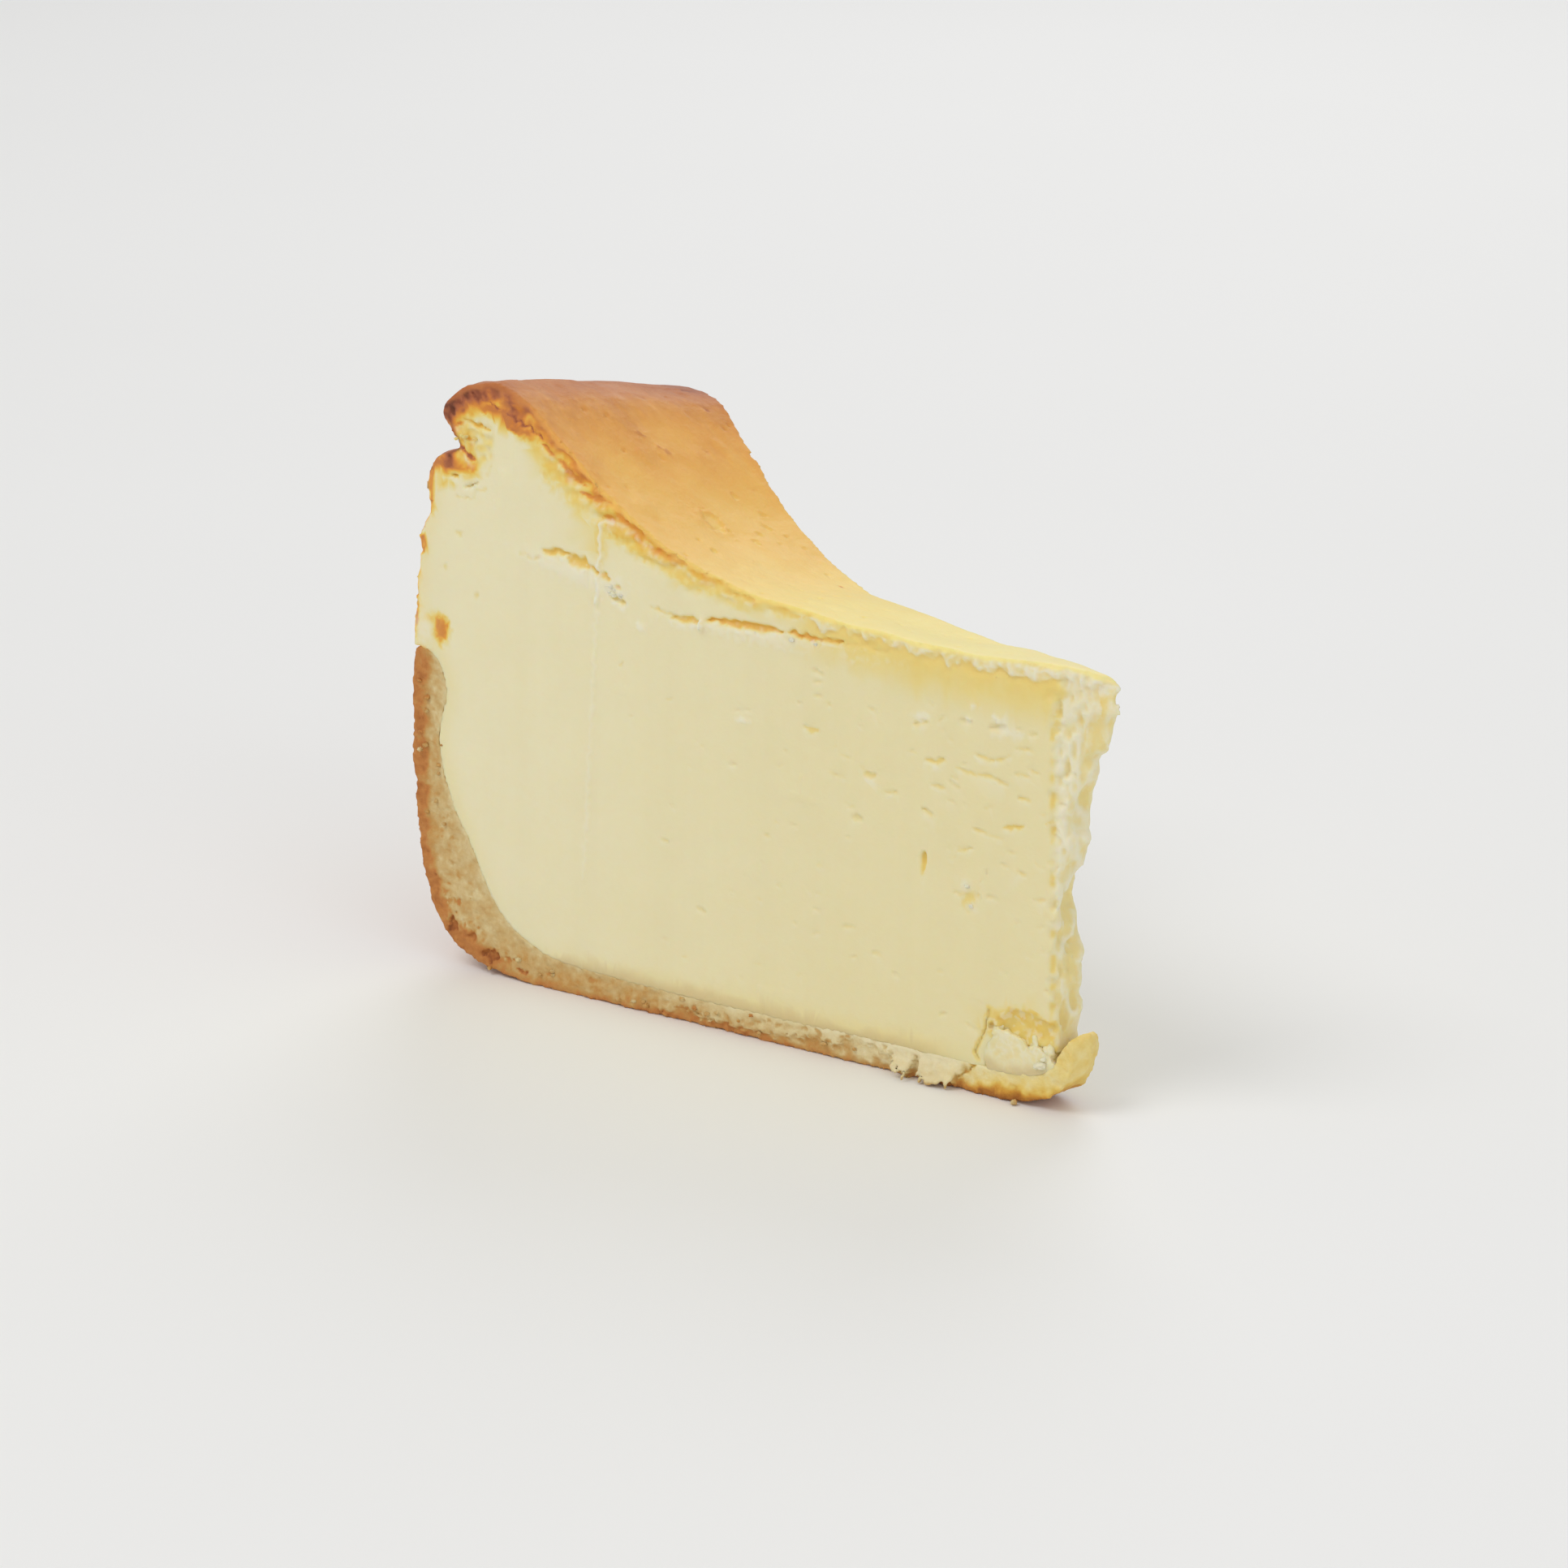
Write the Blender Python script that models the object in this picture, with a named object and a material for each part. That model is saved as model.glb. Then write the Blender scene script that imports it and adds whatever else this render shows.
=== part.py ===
"""One slice of a tall baked cheesecake, as cut: a sixteenth of a 9 inch cake.

The slice is a wedge turned about the cake's centre line. That line stands at AXIS_X on
the X axis. The thin end points to +X, the baked rim to -X, and the base lies on Z = 0.
Radii are measured from the centre line. The angle across the slice runs from the front
cut face (-Y) to the back cut face (+Y).

Pieces: the pastry crust (base and side wall), the filling with its browned skin and
mushroomed rim, and the lump of filling that has broken off on the crust's thin end.
"""

import math

import bmesh
import bpy
from mathutils import Vector, noise

MM = 0.001

# The cake
TIN_RADIUS = 115.0          # 9 inch springform tin
TIN_DEPTH = 73.6            # height of the tin's rim, where the filling starts to overhang
SLICES = 16
WEDGE = 2 * math.pi / SLICES
HALF = WEDGE / 2
AXIS_X = 60.85              # puts the origin under the middle of the slice's box
STEPS = 13                  # sections across the slice
GAP = 0.30                  # clearance between touching pieces

# The risen top
RIM_HEIGHT = 83.5           # crest of the rim at the front cut face
CREST_R = 101.0
RIM_FALL = 7.3              # how much lower the crest is at the back cut face
FALL_POWER = 1.15
MIDDLE_HEIGHT = 59.0

# The crust
BASE_THICK = 4.2
CRUST_TOP = 45.3            # top of the side wall
TIP_RISE = 10.8             # height of the turned-up thin end
FLARE = 0.7                 # how far the crust's thin end spreads sideways

# The broken thin end of the filling
TIP_FRONT_R = 12.9          # where the front cut face stops
TIP_BACK_R_LOW = 12.6       # the same on the back face, near the base
TIP_BACK_R_TOP = 6.9        # and at the top
TIP_BLEND_R = 24.0
LUMP_R = (12.7, 23.2)


# ---------------------------------------------------------------- curves
def smooth(stations, pieces):
    """A Catmull-Rom curve through the stations, cut into this many chords a span."""
    ends = [stations[0], *stations, stations[-1]]
    out = []
    for a, b, c, d in zip(ends, ends[1:], ends[2:], ends[3:]):
        for k in range(pieces):
            t = k / pieces
            out.append(tuple(
                0.5 * (2 * b[i] + (c[i] - a[i]) * t
                       + (2 * a[i] - 5 * b[i] + 4 * c[i] - d[i]) * t * t
                       + (3 * b[i] - a[i] - 3 * c[i] + d[i]) * t ** 3)
                for i in (0, 1)))
    out.append(stations[-1])
    return out


def at(stations, x):
    """The value at x of straight runs between the stations, eased at each one."""
    if x <= stations[0][0]:
        return stations[0][1]
    for (x0, y0), (x1, y1) in zip(stations, stations[1:]):
        if x <= x1:
            s = (x - x0) / (x1 - x0)
            return y0 + (y1 - y0) * (s * s * (3 - 2 * s) * 0.5 + s * 0.5)
    return stations[-1][1]


def offset(curve, distance):
    """The curve moved to its left by the distance."""
    out = []
    for i, (r, z) in enumerate(curve):
        r0, z0 = curve[max(i - 1, 0)]
        r1, z1 = curve[min(i + 1, len(curve) - 1)]
        long = math.hypot(r1 - r0, z1 - z0) or 1.0
        out.append((r - (z1 - z0) / long * distance, z + (r1 - r0) / long * distance))
    return out


def ease(low, high, x):
    s = min(max((x - low) / (high - low), 0.0), 1.0)
    return s * s * (3 - 2 * s)


def rough(r, a, z, size, seed):
    """Smooth unevenness between -1 and 1, with bumps of about this size in mm."""
    p = Vector((r * math.cos(a), r * math.sin(a), z)) / size
    return noise.noise(p + Vector((seed * 7.3, seed * 3.1, seed * 5.7))) * 1.6


# ---------------------------------------------------------------- outlines at the front face, (radius, height) in mm
def crust_inside():
    """From the foot of the turned-up tip, along the base and up the side wall."""
    return smooth([
        (LUMP_R[0] + 0.4, 6.6), (15.2, 5.2), (20.0, BASE_THICK), (36.0, BASE_THICK),
        (62.0, BASE_THICK - 0.2), (86.0, BASE_THICK + 0.1), (95.0, 6.0), (100.4, 10.4),
        (104.6, 17.9), (108.2, 24.6), (110.1, 32.4), (108.8, 39.6), (110.6, 44.0),
        (113.6, CRUST_TOP)], 3)


def crust_outside():
    """From the top of the side wall, down it, round the corner and along the base."""
    return smooth([
        (TIN_RADIUS - 0.5, CRUST_TOP - 0.5), (TIN_RADIUS, 41.0), (TIN_RADIUS, 30.0),
        (TIN_RADIUS - 0.6, 21.0), (TIN_RADIUS - 1.8, 13.0), (TIN_RADIUS - 4.2, 6.4),
        (TIN_RADIUS - 9.0, 2.0), (TIN_RADIUS - 15.5, 0.35)], 3) + [(TIN_RADIUS - 20.0, 0.0)]


def crust_tip():
    """The thin end: the underside rises to a rounded edge that turns back inwards."""
    return [(64.0, 0.0), (34.0, 0.0), (21.0, 0.0)] + smooth([
        (17.0, 0.5), (13.6, 1.9), (10.8, 4.6), (9.1, 7.6), (8.8, 9.6),
        (9.8, TIP_RISE), (11.3, TIP_RISE - 0.5), (12.5, 8.6)], 2)


def rim_side():
    """The filling's baked side above the crust: a collar, the notch left by the tin's
    rim, and the skin that has mushroomed over it, up to the crest."""
    return smooth([
        (TIN_RADIUS - 0.3, CRUST_TOP + 0.5), (TIN_RADIUS - 0.8, 52.5),
        (TIN_RADIUS - 1.4, 60.5), (TIN_RADIUS - 3.1, 65.5), (TIN_RADIUS - 2.8, 69.0),
        (TIN_RADIUS - 4.2, 72.0), (TIN_RADIUS - 7.6, TIN_DEPTH),
        (TIN_RADIUS - 6.4, 75.4), (TIN_RADIUS - 5.0, 77.8), (TIN_RADIUS - 6.2, 80.2),
        (TIN_RADIUS - 9.4, 82.6), (CREST_R, RIM_HEIGHT)], 3)


def top_line():
    """The top from the crest down the slope and along the level middle to the thin end."""
    return smooth([
        (CREST_R, RIM_HEIGHT), (96.0, 81.6), (90.5, 76.9), (84.5, 71.9), (78.5, 67.8),
        (70.5, 64.0), (61.0, 61.4), (48.0, 60.0), (36.0, MIDDLE_HEIGHT),
        (24.0, MIDDLE_HEIGHT + 0.1), (15.0, MIDDLE_HEIGHT + 0.6),
        (TIP_FRONT_R + 0.2, MIDDLE_HEIGHT)], 3)


# How far the top falls from the front cut face to the back one, at each radius.
FALL = [(8.0, 0.9), (30.0, 1.7), (45.0, 2.7), (60.0, 4.4), (75.0, 4.9), (88.0, 5.1),
        (CREST_R, RIM_FALL)]


def filling_outline():
    inside = [p for p in offset(crust_inside(), GAP) if p[0] > LUMP_R[1] + 2.2]
    foot = [(LUMP_R[1] + 0.9, BASE_THICK + GAP)]
    side = rim_side()
    top = top_line()[1:]
    edge = [(TIP_FRONT_R, MIDDLE_HEIGHT - 1.6)] + [
        (TIP_FRONT_R, 9.6 + (MIDDLE_HEIGHT - 4.0 - 9.6) * k / 14) for k in range(14, -1, -1)]
    # The lump has broken away under this edge, so the foot is cut back over it.
    under = smooth([(TIP_FRONT_R + 0.9, 8.9), (17.0, 9.3), (21.6, 10.2), (LUMP_R[1] + 0.5, 8.2),
                    foot[0]], 2)[:-1]
    return foot + inside + side + top + edge + under


def crust_outline():
    return crust_inside() + crust_outside() + crust_tip()


def lump_outline():
    """The broken lump: its underside follows the crust, its torn top is uneven."""
    under = [p for p in offset(crust_inside(), GAP) if p[0] <= LUMP_R[1] - 0.2]
    torn = smooth([(LUMP_R[1], BASE_THICK + 1.2), (22.6, 7.0), (21.3, 8.6), (19.4, 8.1),
                   (17.2, 7.1), (15.6, 7.5), (14.2, 7.4), (under[0][0] + 0.2, under[0][1] + 0.5)], 2)
    return under + torn


# ---------------------------------------------------------------- turning the outline into a wedge
def turned(name, outline, reshape, flat, steps=STEPS):
    """The outline as a face on the front cut plane, spun about the cake's centre line
    through the wedge's angle, then each point moved by the reshape function."""
    mesh = bpy.data.meshes.new(name)
    bm = bmesh.new()
    points = [bm.verts.new((-r * math.cos(HALF), -r * math.sin(HALF), z)) for r, z in outline]
    face = bm.faces.new(points)
    bmesh.ops.spin(bm, geom=[face, *face.verts, *face.edges], cent=(0, 0, 0),
                   axis=(0, 0, -1), angle=WEDGE, steps=steps)
    for v in bm.verts:
        r, a, z = reshape(math.hypot(v.co.x, v.co.y), math.atan2(v.co.y, -v.co.x), v.co.z)
        v.co = Vector((AXIS_X - r * math.cos(a), r * math.sin(a), z)) * MM
    bmesh.ops.recalc_face_normals(bm, faces=bm.faces)
    bm.to_mesh(mesh)
    bm.free()
    mesh.shade_smooth()
    mesh.set_sharp_from_angle(angle=math.radians(35))
    mesh.materials.append(flat)
    return bpy.data.objects.new(name, mesh)


def across(a):
    """0 at the front cut face, 1 at the back one."""
    return min(max((a + HALF) / WEDGE, 0.0), 1.0)


def tip_radius(a, z):
    """Where the torn thin end of the filling stops."""
    back = TIP_BACK_R_LOW + (TIP_BACK_R_TOP - TIP_BACK_R_LOW) * ease(36.0, 54.0, z)
    back += 1.6 * math.exp(-((z - 28.0) / 3.0) ** 2) - 0.9 * math.exp(-((z - 37.0) / 2.0) ** 2)
    t = across(a)
    inner = t * (1 - t) * 4
    end = TIP_FRONT_R + (back - TIP_FRONT_R) * t + 0.8 * (0.35 + inner) * rough(12.0, a * 0.6, z, 4.2, 3)
    return max(end, TIP_FRONT_R + 0.2 - 0.5 * max(z - TIP_RISE - 0.6, 0.0))


def shape_filling(r, a, z):
    t = across(a) ** FALL_POWER
    if z > TIN_DEPTH and r > CREST_R:
        z = TIN_DEPTH + (z - TIN_DEPTH) * (1 - RIM_FALL * t / (RIM_HEIGHT - TIN_DEPTH))
    elif z > MIDDLE_HEIGHT - 2.5 and r <= CREST_R:
        z -= at(FALL, r) * t
    if r > CREST_R and z > CRUST_TOP + 1.5:
        r += 0.45 * rough(r, a, z, 14.0, 1)
    if z > MIDDLE_HEIGHT - 4:
        z += 0.25 * rough(r, a, 0.0, 11.0, 2) * ease(14.0, 24.0, r) * ease(TIN_RADIUS, CREST_R, r)
    if r < TIP_BLEND_R and z > 9.0:
        end = tip_radius(a, z)
        r = end + (r - TIP_FRONT_R) * (TIP_BLEND_R - end) / (TIP_BLEND_R - TIP_FRONT_R)
    return r, a, z


def shape_crust(r, a, z):
    if r > 110.7 and 3.0 < z < CRUST_TOP - 2.0:
        r -= 0.22 + 0.22 * rough(r, a, z, 9.0, 5)
    if r < 20.0:
        # The thin end spreads sideways into a blunt, rounded prow.
        spread = 1 + FLARE * ease(20.0, 8.5, r) / (r * math.sin(HALF)) * ease(0.0, 2.0, z)
        a *= spread
        r += 0.9 * ease(12.4, 9.0, r) * (a / (HALF * spread)) ** 2
    return r, a, z


def shape_lump(r, a, z):
    if z > BASE_THICK + 2.4:
        z += 0.2 * rough(r, a, z, 4.5, 8)
    return r, a, z


# ---------------------------------------------------------------- cutters
def blob(name, centre_r, centre_a, centre_z, half_r, half_y, half_z, bend=0.0, tilt=0.0,
         uneven=0.0, seed=0, detail=2):
    """A rounded cutter about a point of the slice, its long side along the radius. Bend
    lifts its middle, tilt its outer end, and uneven roughens it."""
    mesh = bpy.data.meshes.new(name)
    bm = bmesh.new()
    bmesh.ops.create_icosphere(bm, subdivisions=detail, radius=1.0)
    for v in bm.verts:
        u, w, h = v.co
        swell = 1 + uneven * rough(u * 6, 0.0, w * 6 + h * 6, 3.0, seed)
        r = centre_r + half_r * u
        z = centre_z + half_z * h * swell + bend * (1 - u * u) + tilt * u
        side = half_y * w * swell + 0.13
        x = -r * math.cos(centre_a) - side * math.sin(centre_a)
        y = r * math.sin(centre_a) - side * math.cos(centre_a)
        v.co = Vector((AXIS_X + x, y, z)) * MM
    bm.to_mesh(mesh)
    bm.free()
    cutter = bpy.data.objects.new(name, mesh)
    cutter.hide_render = True
    cutter.display_type = "WIRE"
    return cutter


def cut(target, cutter):
    made = target.modifiers.new(cutter.name, "BOOLEAN")
    made.operation = "DIFFERENCE"
    made.solver = "EXACT"
    made.object = cutter


# ---------------------------------------------------------------- materials
def material(name, colour, roughness):
    made = bpy.data.materials.new(name)
    made.use_nodes = True
    shader = made.node_tree.nodes["Principled BSDF"]
    shader.inputs["Base Color"].default_value = (*colour, 1.0)
    shader.inputs["Roughness"].default_value = roughness
    shader.inputs["Metallic"].default_value = 0.0
    made.diffuse_color = (*colour, 1.0)
    return made


# ---------------------------------------------------------------- the slice
def main():
    for old in list(bpy.data.objects):
        bpy.data.objects.remove(old, do_unlink=True)
    slice_parts = bpy.data.collections.new("cheesecake_slice")
    cutters = bpy.data.collections.new("cheesecake_cutters")
    for group in (slice_parts, cutters):
        bpy.context.scene.collection.children.link(group)

    custard = material("custard", (0.78, 0.70, 0.40), 0.45)
    pastry = material("pastry", (0.62, 0.38, 0.14), 0.7)
    torn = material("torn_custard", (0.80, 0.71, 0.38), 0.6)

    crust = turned("crust", crust_outline(), shape_crust, pastry)
    filling = turned("filling", filling_outline(), shape_filling, custard)
    lump = turned("tip_fragment", lump_outline(), shape_lump, torn, steps=8)
    for piece in (crust, filling, lump):
        slice_parts.objects.link(piece)

    # Tears in the front cut face, and the hollow over the broken lump.
    tears = [
        blob("tear_upper", 87.4, -HALF, 59.3, 6.4, 1.5, 0.62, bend=1.5, tilt=0.8, uneven=0.2, seed=2),
        blob("tear_under_skin", 60.5, -HALF, 56.1, 14.4, 2.0, 0.5, bend=0.4, tilt=-0.8, uneven=0.2, seed=4),
        blob("tear_back", 74.0, HALF, 50.5, 8.0, 1.4, 0.5, bend=0.6, tilt=0.4, uneven=0.2, seed=6),
        blob("hollow", 17.6, -HALF, 10.4, 5.4, 2.6, 2.5, bend=0.4, uneven=0.25, seed=9),
    ]
    for tear in tears:
        cutters.objects.link(tear)
        cut(filling, tear)


main()
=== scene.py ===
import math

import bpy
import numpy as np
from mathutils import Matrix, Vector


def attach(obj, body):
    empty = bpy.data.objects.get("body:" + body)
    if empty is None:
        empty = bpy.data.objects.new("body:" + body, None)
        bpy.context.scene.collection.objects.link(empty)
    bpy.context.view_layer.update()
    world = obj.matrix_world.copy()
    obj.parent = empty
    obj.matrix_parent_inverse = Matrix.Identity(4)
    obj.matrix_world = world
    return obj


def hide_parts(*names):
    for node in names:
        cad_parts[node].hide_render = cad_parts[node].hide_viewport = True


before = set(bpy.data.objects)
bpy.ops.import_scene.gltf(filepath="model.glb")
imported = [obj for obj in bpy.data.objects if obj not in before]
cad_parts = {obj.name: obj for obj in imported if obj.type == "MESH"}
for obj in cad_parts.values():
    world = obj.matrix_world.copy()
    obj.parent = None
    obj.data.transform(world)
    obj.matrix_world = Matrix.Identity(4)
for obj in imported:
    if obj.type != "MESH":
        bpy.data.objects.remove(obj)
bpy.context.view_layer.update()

# Looks of the baked cheesecake slice. Every CAD node is replaced by a mesh built here: a
# field of signed distances (mm) is made from the same outline and sizes as the solids, the
# cut faces, skin, rim and broken tip are worked into it, and the zero surface is meshed.
# Masks for browning, torn curd and toasting go on the vertices and drive the materials; they also carry painted shade
# in hollows, cracks and creases and painted highlights on ledges and ridges.

F = np.float32

# ---------------------------------------------------------------- sizes, mm, as in the solids
TIN_RADIUS = 115.0
TIN_DEPTH = 73.6
HALF = math.pi / 16
AXIS_X = 60.85
TOUCH = 0.30                # the pieces are pressed together, so no dark line shows between
RIM_HEIGHT = 83.5
CREST_R = 101.0
RIM_FALL = 7.3
FALL_POWER = 1.15
MIDDLE_HEIGHT = 59.0
BASE_THICK = 4.2
CRUST_TOP = 45.3
TIP_RISE = 10.8
FLARE = 0.7
TIP_FRONT_R = 12.9
LUMP_R = (12.7, 23.2)
COS, SIN = math.cos(HALF), math.sin(HALF)

FILLING_STEP = 0.30         # sample spacing of the distance fields
CRUST_STEP = 0.27
LUMP_STEP = 0.14
MAP_STEP = 0.15             # spacing of the relief maps


# ---------------------------------------------------------------- curves
def smooth(stations, pieces):
    ends = [stations[0], *stations, stations[-1]]
    out = []
    for a, b, c, d in zip(ends, ends[1:], ends[2:], ends[3:]):
        for k in range(pieces):
            t = k / pieces
            out.append(tuple(
                0.5 * (2 * b[i] + (c[i] - a[i]) * t
                       + (2 * a[i] - 5 * b[i] + 4 * c[i] - d[i]) * t * t
                       + (3 * b[i] - a[i] - 3 * c[i] + d[i]) * t ** 3)
                for i in (0, 1)))
    out.append(stations[-1])
    return out


def offset(curve, distance):
    out = []
    for i, (r, z) in enumerate(curve):
        r0, z0 = curve[max(i - 1, 0)]
        r1, z1 = curve[min(i + 1, len(curve) - 1)]
        long = math.hypot(r1 - r0, z1 - z0) or 1.0
        out.append((r - (z1 - z0) / long * distance, z + (r1 - r0) / long * distance))
    return out


def ease(low, high, x):
    s = np.clip((np.asarray(x, F) - low) / (high - low), 0.0, 1.0)
    return s * s * (3 - 2 * s)


def along(stations, x):
    """Straight runs between (place, value) stations."""
    return np.interp(x, [s[0] for s in stations], [s[1] for s in stations]).astype(F)


def crust_inside():
    return smooth([
        (LUMP_R[0] + 0.4, 6.6), (15.2, 5.2), (20.0, BASE_THICK), (36.0, BASE_THICK),
        (62.0, BASE_THICK - 0.2), (86.0, BASE_THICK + 0.1), (95.0, 6.0), (100.4, 10.4),
        (104.6, 17.9), (108.2, 24.6), (110.1, 32.4), (108.8, 39.6), (110.6, 44.0),
        (113.6, CRUST_TOP)], 4)


def crust_outside():
    return smooth([
        (TIN_RADIUS - 0.5, CRUST_TOP - 0.5), (TIN_RADIUS, 41.0), (TIN_RADIUS, 30.0),
        (TIN_RADIUS - 0.6, 21.0), (TIN_RADIUS - 1.8, 13.0), (TIN_RADIUS - 4.2, 6.4),
        (TIN_RADIUS - 9.0, 2.0), (TIN_RADIUS - 15.5, 0.35)], 4) + [(TIN_RADIUS - 20.0, 0.0)]


def crust_tip():
    return [(64.0, 0.0), (34.0, 0.0), (21.0, 0.0)] + smooth([
        (17.0, 0.5), (13.6, 1.9), (10.8, 4.6), (9.1, 7.6), (8.8, 9.6),
        (9.8, TIP_RISE), (11.3, TIP_RISE - 0.5), (12.5, 8.6)], 3)


def rim_side():
    return smooth([
        (TIN_RADIUS - 0.4, CRUST_TOP - 0.35), (TIN_RADIUS - 0.8, 52.5),
        (TIN_RADIUS - 1.4, 60.5), (TIN_RADIUS - 3.1, 65.5), (TIN_RADIUS - 2.8, 69.0),
        (TIN_RADIUS - 4.2, 72.0), (TIN_RADIUS - 7.6, TIN_DEPTH),
        (TIN_RADIUS - 6.4, 75.4), (TIN_RADIUS - 5.0, 77.8), (TIN_RADIUS - 6.2, 80.2),
        (TIN_RADIUS - 9.4, 82.6), (CREST_R, RIM_HEIGHT)], 4)


def top_line():
    return smooth([
        (CREST_R, RIM_HEIGHT), (96.0, 81.6), (90.5, 76.9), (84.5, 71.9), (78.5, 67.8),
        (70.5, 64.0), (61.0, 61.4), (48.0, 60.0), (36.0, MIDDLE_HEIGHT),
        (24.0, MIDDLE_HEIGHT + 0.1), (15.0, MIDDLE_HEIGHT + 0.6),
        (TIP_FRONT_R + 0.2, MIDDLE_HEIGHT)], 4)


FALL = [(8.0, 0.9), (30.0, 1.7), (45.0, 2.7), (60.0, 4.4), (75.0, 4.9), (88.0, 5.1),
        (CREST_R, RIM_FALL)]


def filling_outline():
    """The filling's outline, run on past the torn tip, which is cut separately."""
    inside = [p for p in offset(crust_inside(), -TOUCH) if p[0] > LUMP_R[1] + 2.2]
    foot = (LUMP_R[1] + 0.15, BASE_THICK - TOUCH)
    top = [p for p in top_line()[1:] if p[0] > 14.5]
    edge = [(8.0, MIDDLE_HEIGHT + 0.4), (2.0, MIDDLE_HEIGHT), (2.0, 7.8)]
    under = smooth([(10.0, 7.8), (14.2, 7.9), (15.6, 8.3), (17.2, 8.0), (19.4, 8.8), (21.4, 9.2),
                    (22.6, 7.4), (LUMP_R[1] - 0.1, 5.6), foot], 3)[:-1]
    return [foot] + inside + rim_side() + top + edge + under


def lump_outline():
    under = [p for p in offset(crust_inside(), -TOUCH) if p[0] <= LUMP_R[1]]
    torn = smooth([(LUMP_R[1] + 0.35, BASE_THICK + 1.0), (23.1, 7.4), (21.8, 9.6), (19.4, 9.2),
                   (17.2, 8.4), (15.6, 8.7), (14.2, 8.2), (under[0][0] + 0.2, under[0][1] + 0.5)], 3)
    return under + torn


def skin_line(t):
    """The skin's edge at a cut face, from the notch over the lip and down to the tip."""
    side = [p for p in rim_side() if p[1] >= TIN_DEPTH - 0.1]
    out = [(r, TIN_DEPTH + (z - TIN_DEPTH) * (1 - RIM_FALL * t / (RIM_HEIGHT - TIN_DEPTH)))
           for r, z in side]
    out += [(r, z - float(along(FALL, r)) * t) for r, z in top_line()[1:] if r > 14.5]
    return out + [(4.0, MIDDLE_HEIGHT + 0.4 - 0.9 * t)]


# ---------------------------------------------------------------- sampling and noise
def sample(grid, i, j):
    """Bilinear value of a 2-D grid at the fractional indices."""
    i = np.clip(i, 0, grid.shape[0] - 1.001)
    j = np.clip(j, 0, grid.shape[1] - 1.001)
    i0, j0 = i.astype(np.int32), j.astype(np.int32)
    fi, fj = (i - i0).astype(F), (j - j0).astype(F)
    flat, k = grid.ravel(), i0 * grid.shape[1] + j0
    a, b = flat[k], flat[k + 1]
    k += grid.shape[1]
    c, d = flat[k], flat[k + 1]
    a += (b - a) * fj
    c += (d - c) * fj
    return a + (c - a) * fi


def volume(seed, n=64, wave=8.0, width=0.4, roll=None):
    """A periodic cube of noise of standard deviation 1. With roll it is fractal, falling
    off with frequency to that power; otherwise it keeps to one wavelength."""
    spectrum = np.fft.rfftn(np.random.default_rng(seed).standard_normal((n, n, n)))
    f, h = np.fft.fftfreq(n) * wave, np.fft.rfftfreq(n) * wave
    k = np.sqrt(f[:, None, None] ** 2 + f[None, :, None] ** 2 + h[None, None, :] ** 2) + 1e-6
    if roll is None:
        keep = np.exp(-np.log(k) ** 2 / (2 * width ** 2))
    else:
        keep = np.where(k < 0.9, 0.0, k ** -roll)
    out = np.fft.irfftn(spectrum * keep, (n, n, n))
    return (out / out.std()).astype(F)


VOLUMES = {
    "soft": (volume(11, 64, 8.0), 8.0),
    "fractal": (volume(12, 96, 32.0, roll=2.4), 32.0),
}


def noise(kind, size, seed, x, y, z):
    """Noise at points in mm, its bumps about this size apart, standard deviation 1."""
    grid, wave = VOLUMES[kind]
    n = grid.shape[0]
    scale = wave / size
    cells, parts = [], []
    for c, shift in ((x, 17.3), (y, 5.9), (z, 29.1)):
        p = np.asarray(c, F) * F(scale) + F(seed * shift % n)
        base = np.floor(p)
        parts.append((p - base).astype(F))
        cells.append(base.astype(np.int32) % n)
    (i, j, k), (fi, fj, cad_) = cells, parts
    i1, j1, k1 = (i + 1) % n, (j + 1) % n, (k + 1) % n
    flat = grid.ravel()

    def row(a, b):
        base = (a * n + b) * n
        low = flat[base + k]
        return low + (flat[base + k1] - low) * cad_

    a = row(i, j)
    a += (row(i, j1) - a) * fj
    b = row(i1, j)
    b += (row(i1, j1) - b) * fj
    return a + (b - a) * fi


def curds(size, seed, x, y, z):
    """Rounded lumps with sharp creases between them, about 0 to 2, mostly under 1."""
    return (0.75 * np.abs(noise("soft", size * 1.7, seed, x, y, z))
            + 0.4 * np.abs(noise("soft", size * 0.8, seed + 1, x, y, z)))


# ---------------------------------------------------------------- signed distance of an outline
class Outline:
    """Distance to a closed outline in (radius, height), negative inside."""
    def __init__(self, points, high=(121.0, 90.0), low=(-2.0, -3.0), step=0.2):
        self.low, self.step = low, step
        r = (low[0] + step * np.arange(int((high[0] - low[0]) / step) + 1))[:, None]
        z = (low[1] + step * np.arange(int((high[1] - low[1]) / step) + 1))[None, :]
        best = np.full((r.size, z.size), 1e9)
        inside = np.zeros(best.shape, bool)
        for (r0, z0), (r1, z1) in zip(points, points[1:] + points[:1]):
            er, ez = r1 - r0, z1 - z0
            if er == 0 and ez == 0:
                continue
            t = np.clip(((r - r0) * er + (z - z0) * ez) / (er * er + ez * ez), 0, 1)
            best = np.minimum(best, (r - r0 - t * er) ** 2 + (z - z0 - t * ez) ** 2)
            if ez:
                inside ^= ((z0 <= z) != (z1 <= z)) & (r < r0 + (z - z0) / ez * er)
        self.grid = (np.sqrt(best) * np.where(inside, -1, 1)).astype(F)

    def __call__(self, r, z):
        return sample(self.grid, (r - self.low[0]) / self.step, (z - self.low[1]) / self.step)


def distance_to(line, u, z):
    """Distance from each point to an open line of (u, z) points."""
    best = np.full(np.broadcast(u, z).shape, 1e9, F)
    for (u0, z0), (u1, z1) in zip(line, line[1:]):
        eu, ez = u1 - u0, z1 - z0
        t = np.clip(((u - u0) * eu + (z - z0) * ez) / (eu * eu + ez * ez + 1e-9), 0, 1)
        best = np.minimum(best, (u - u0 - t * eu) ** 2 + (z - z0 - t * ez) ** 2)
    return np.sqrt(best)


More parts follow.
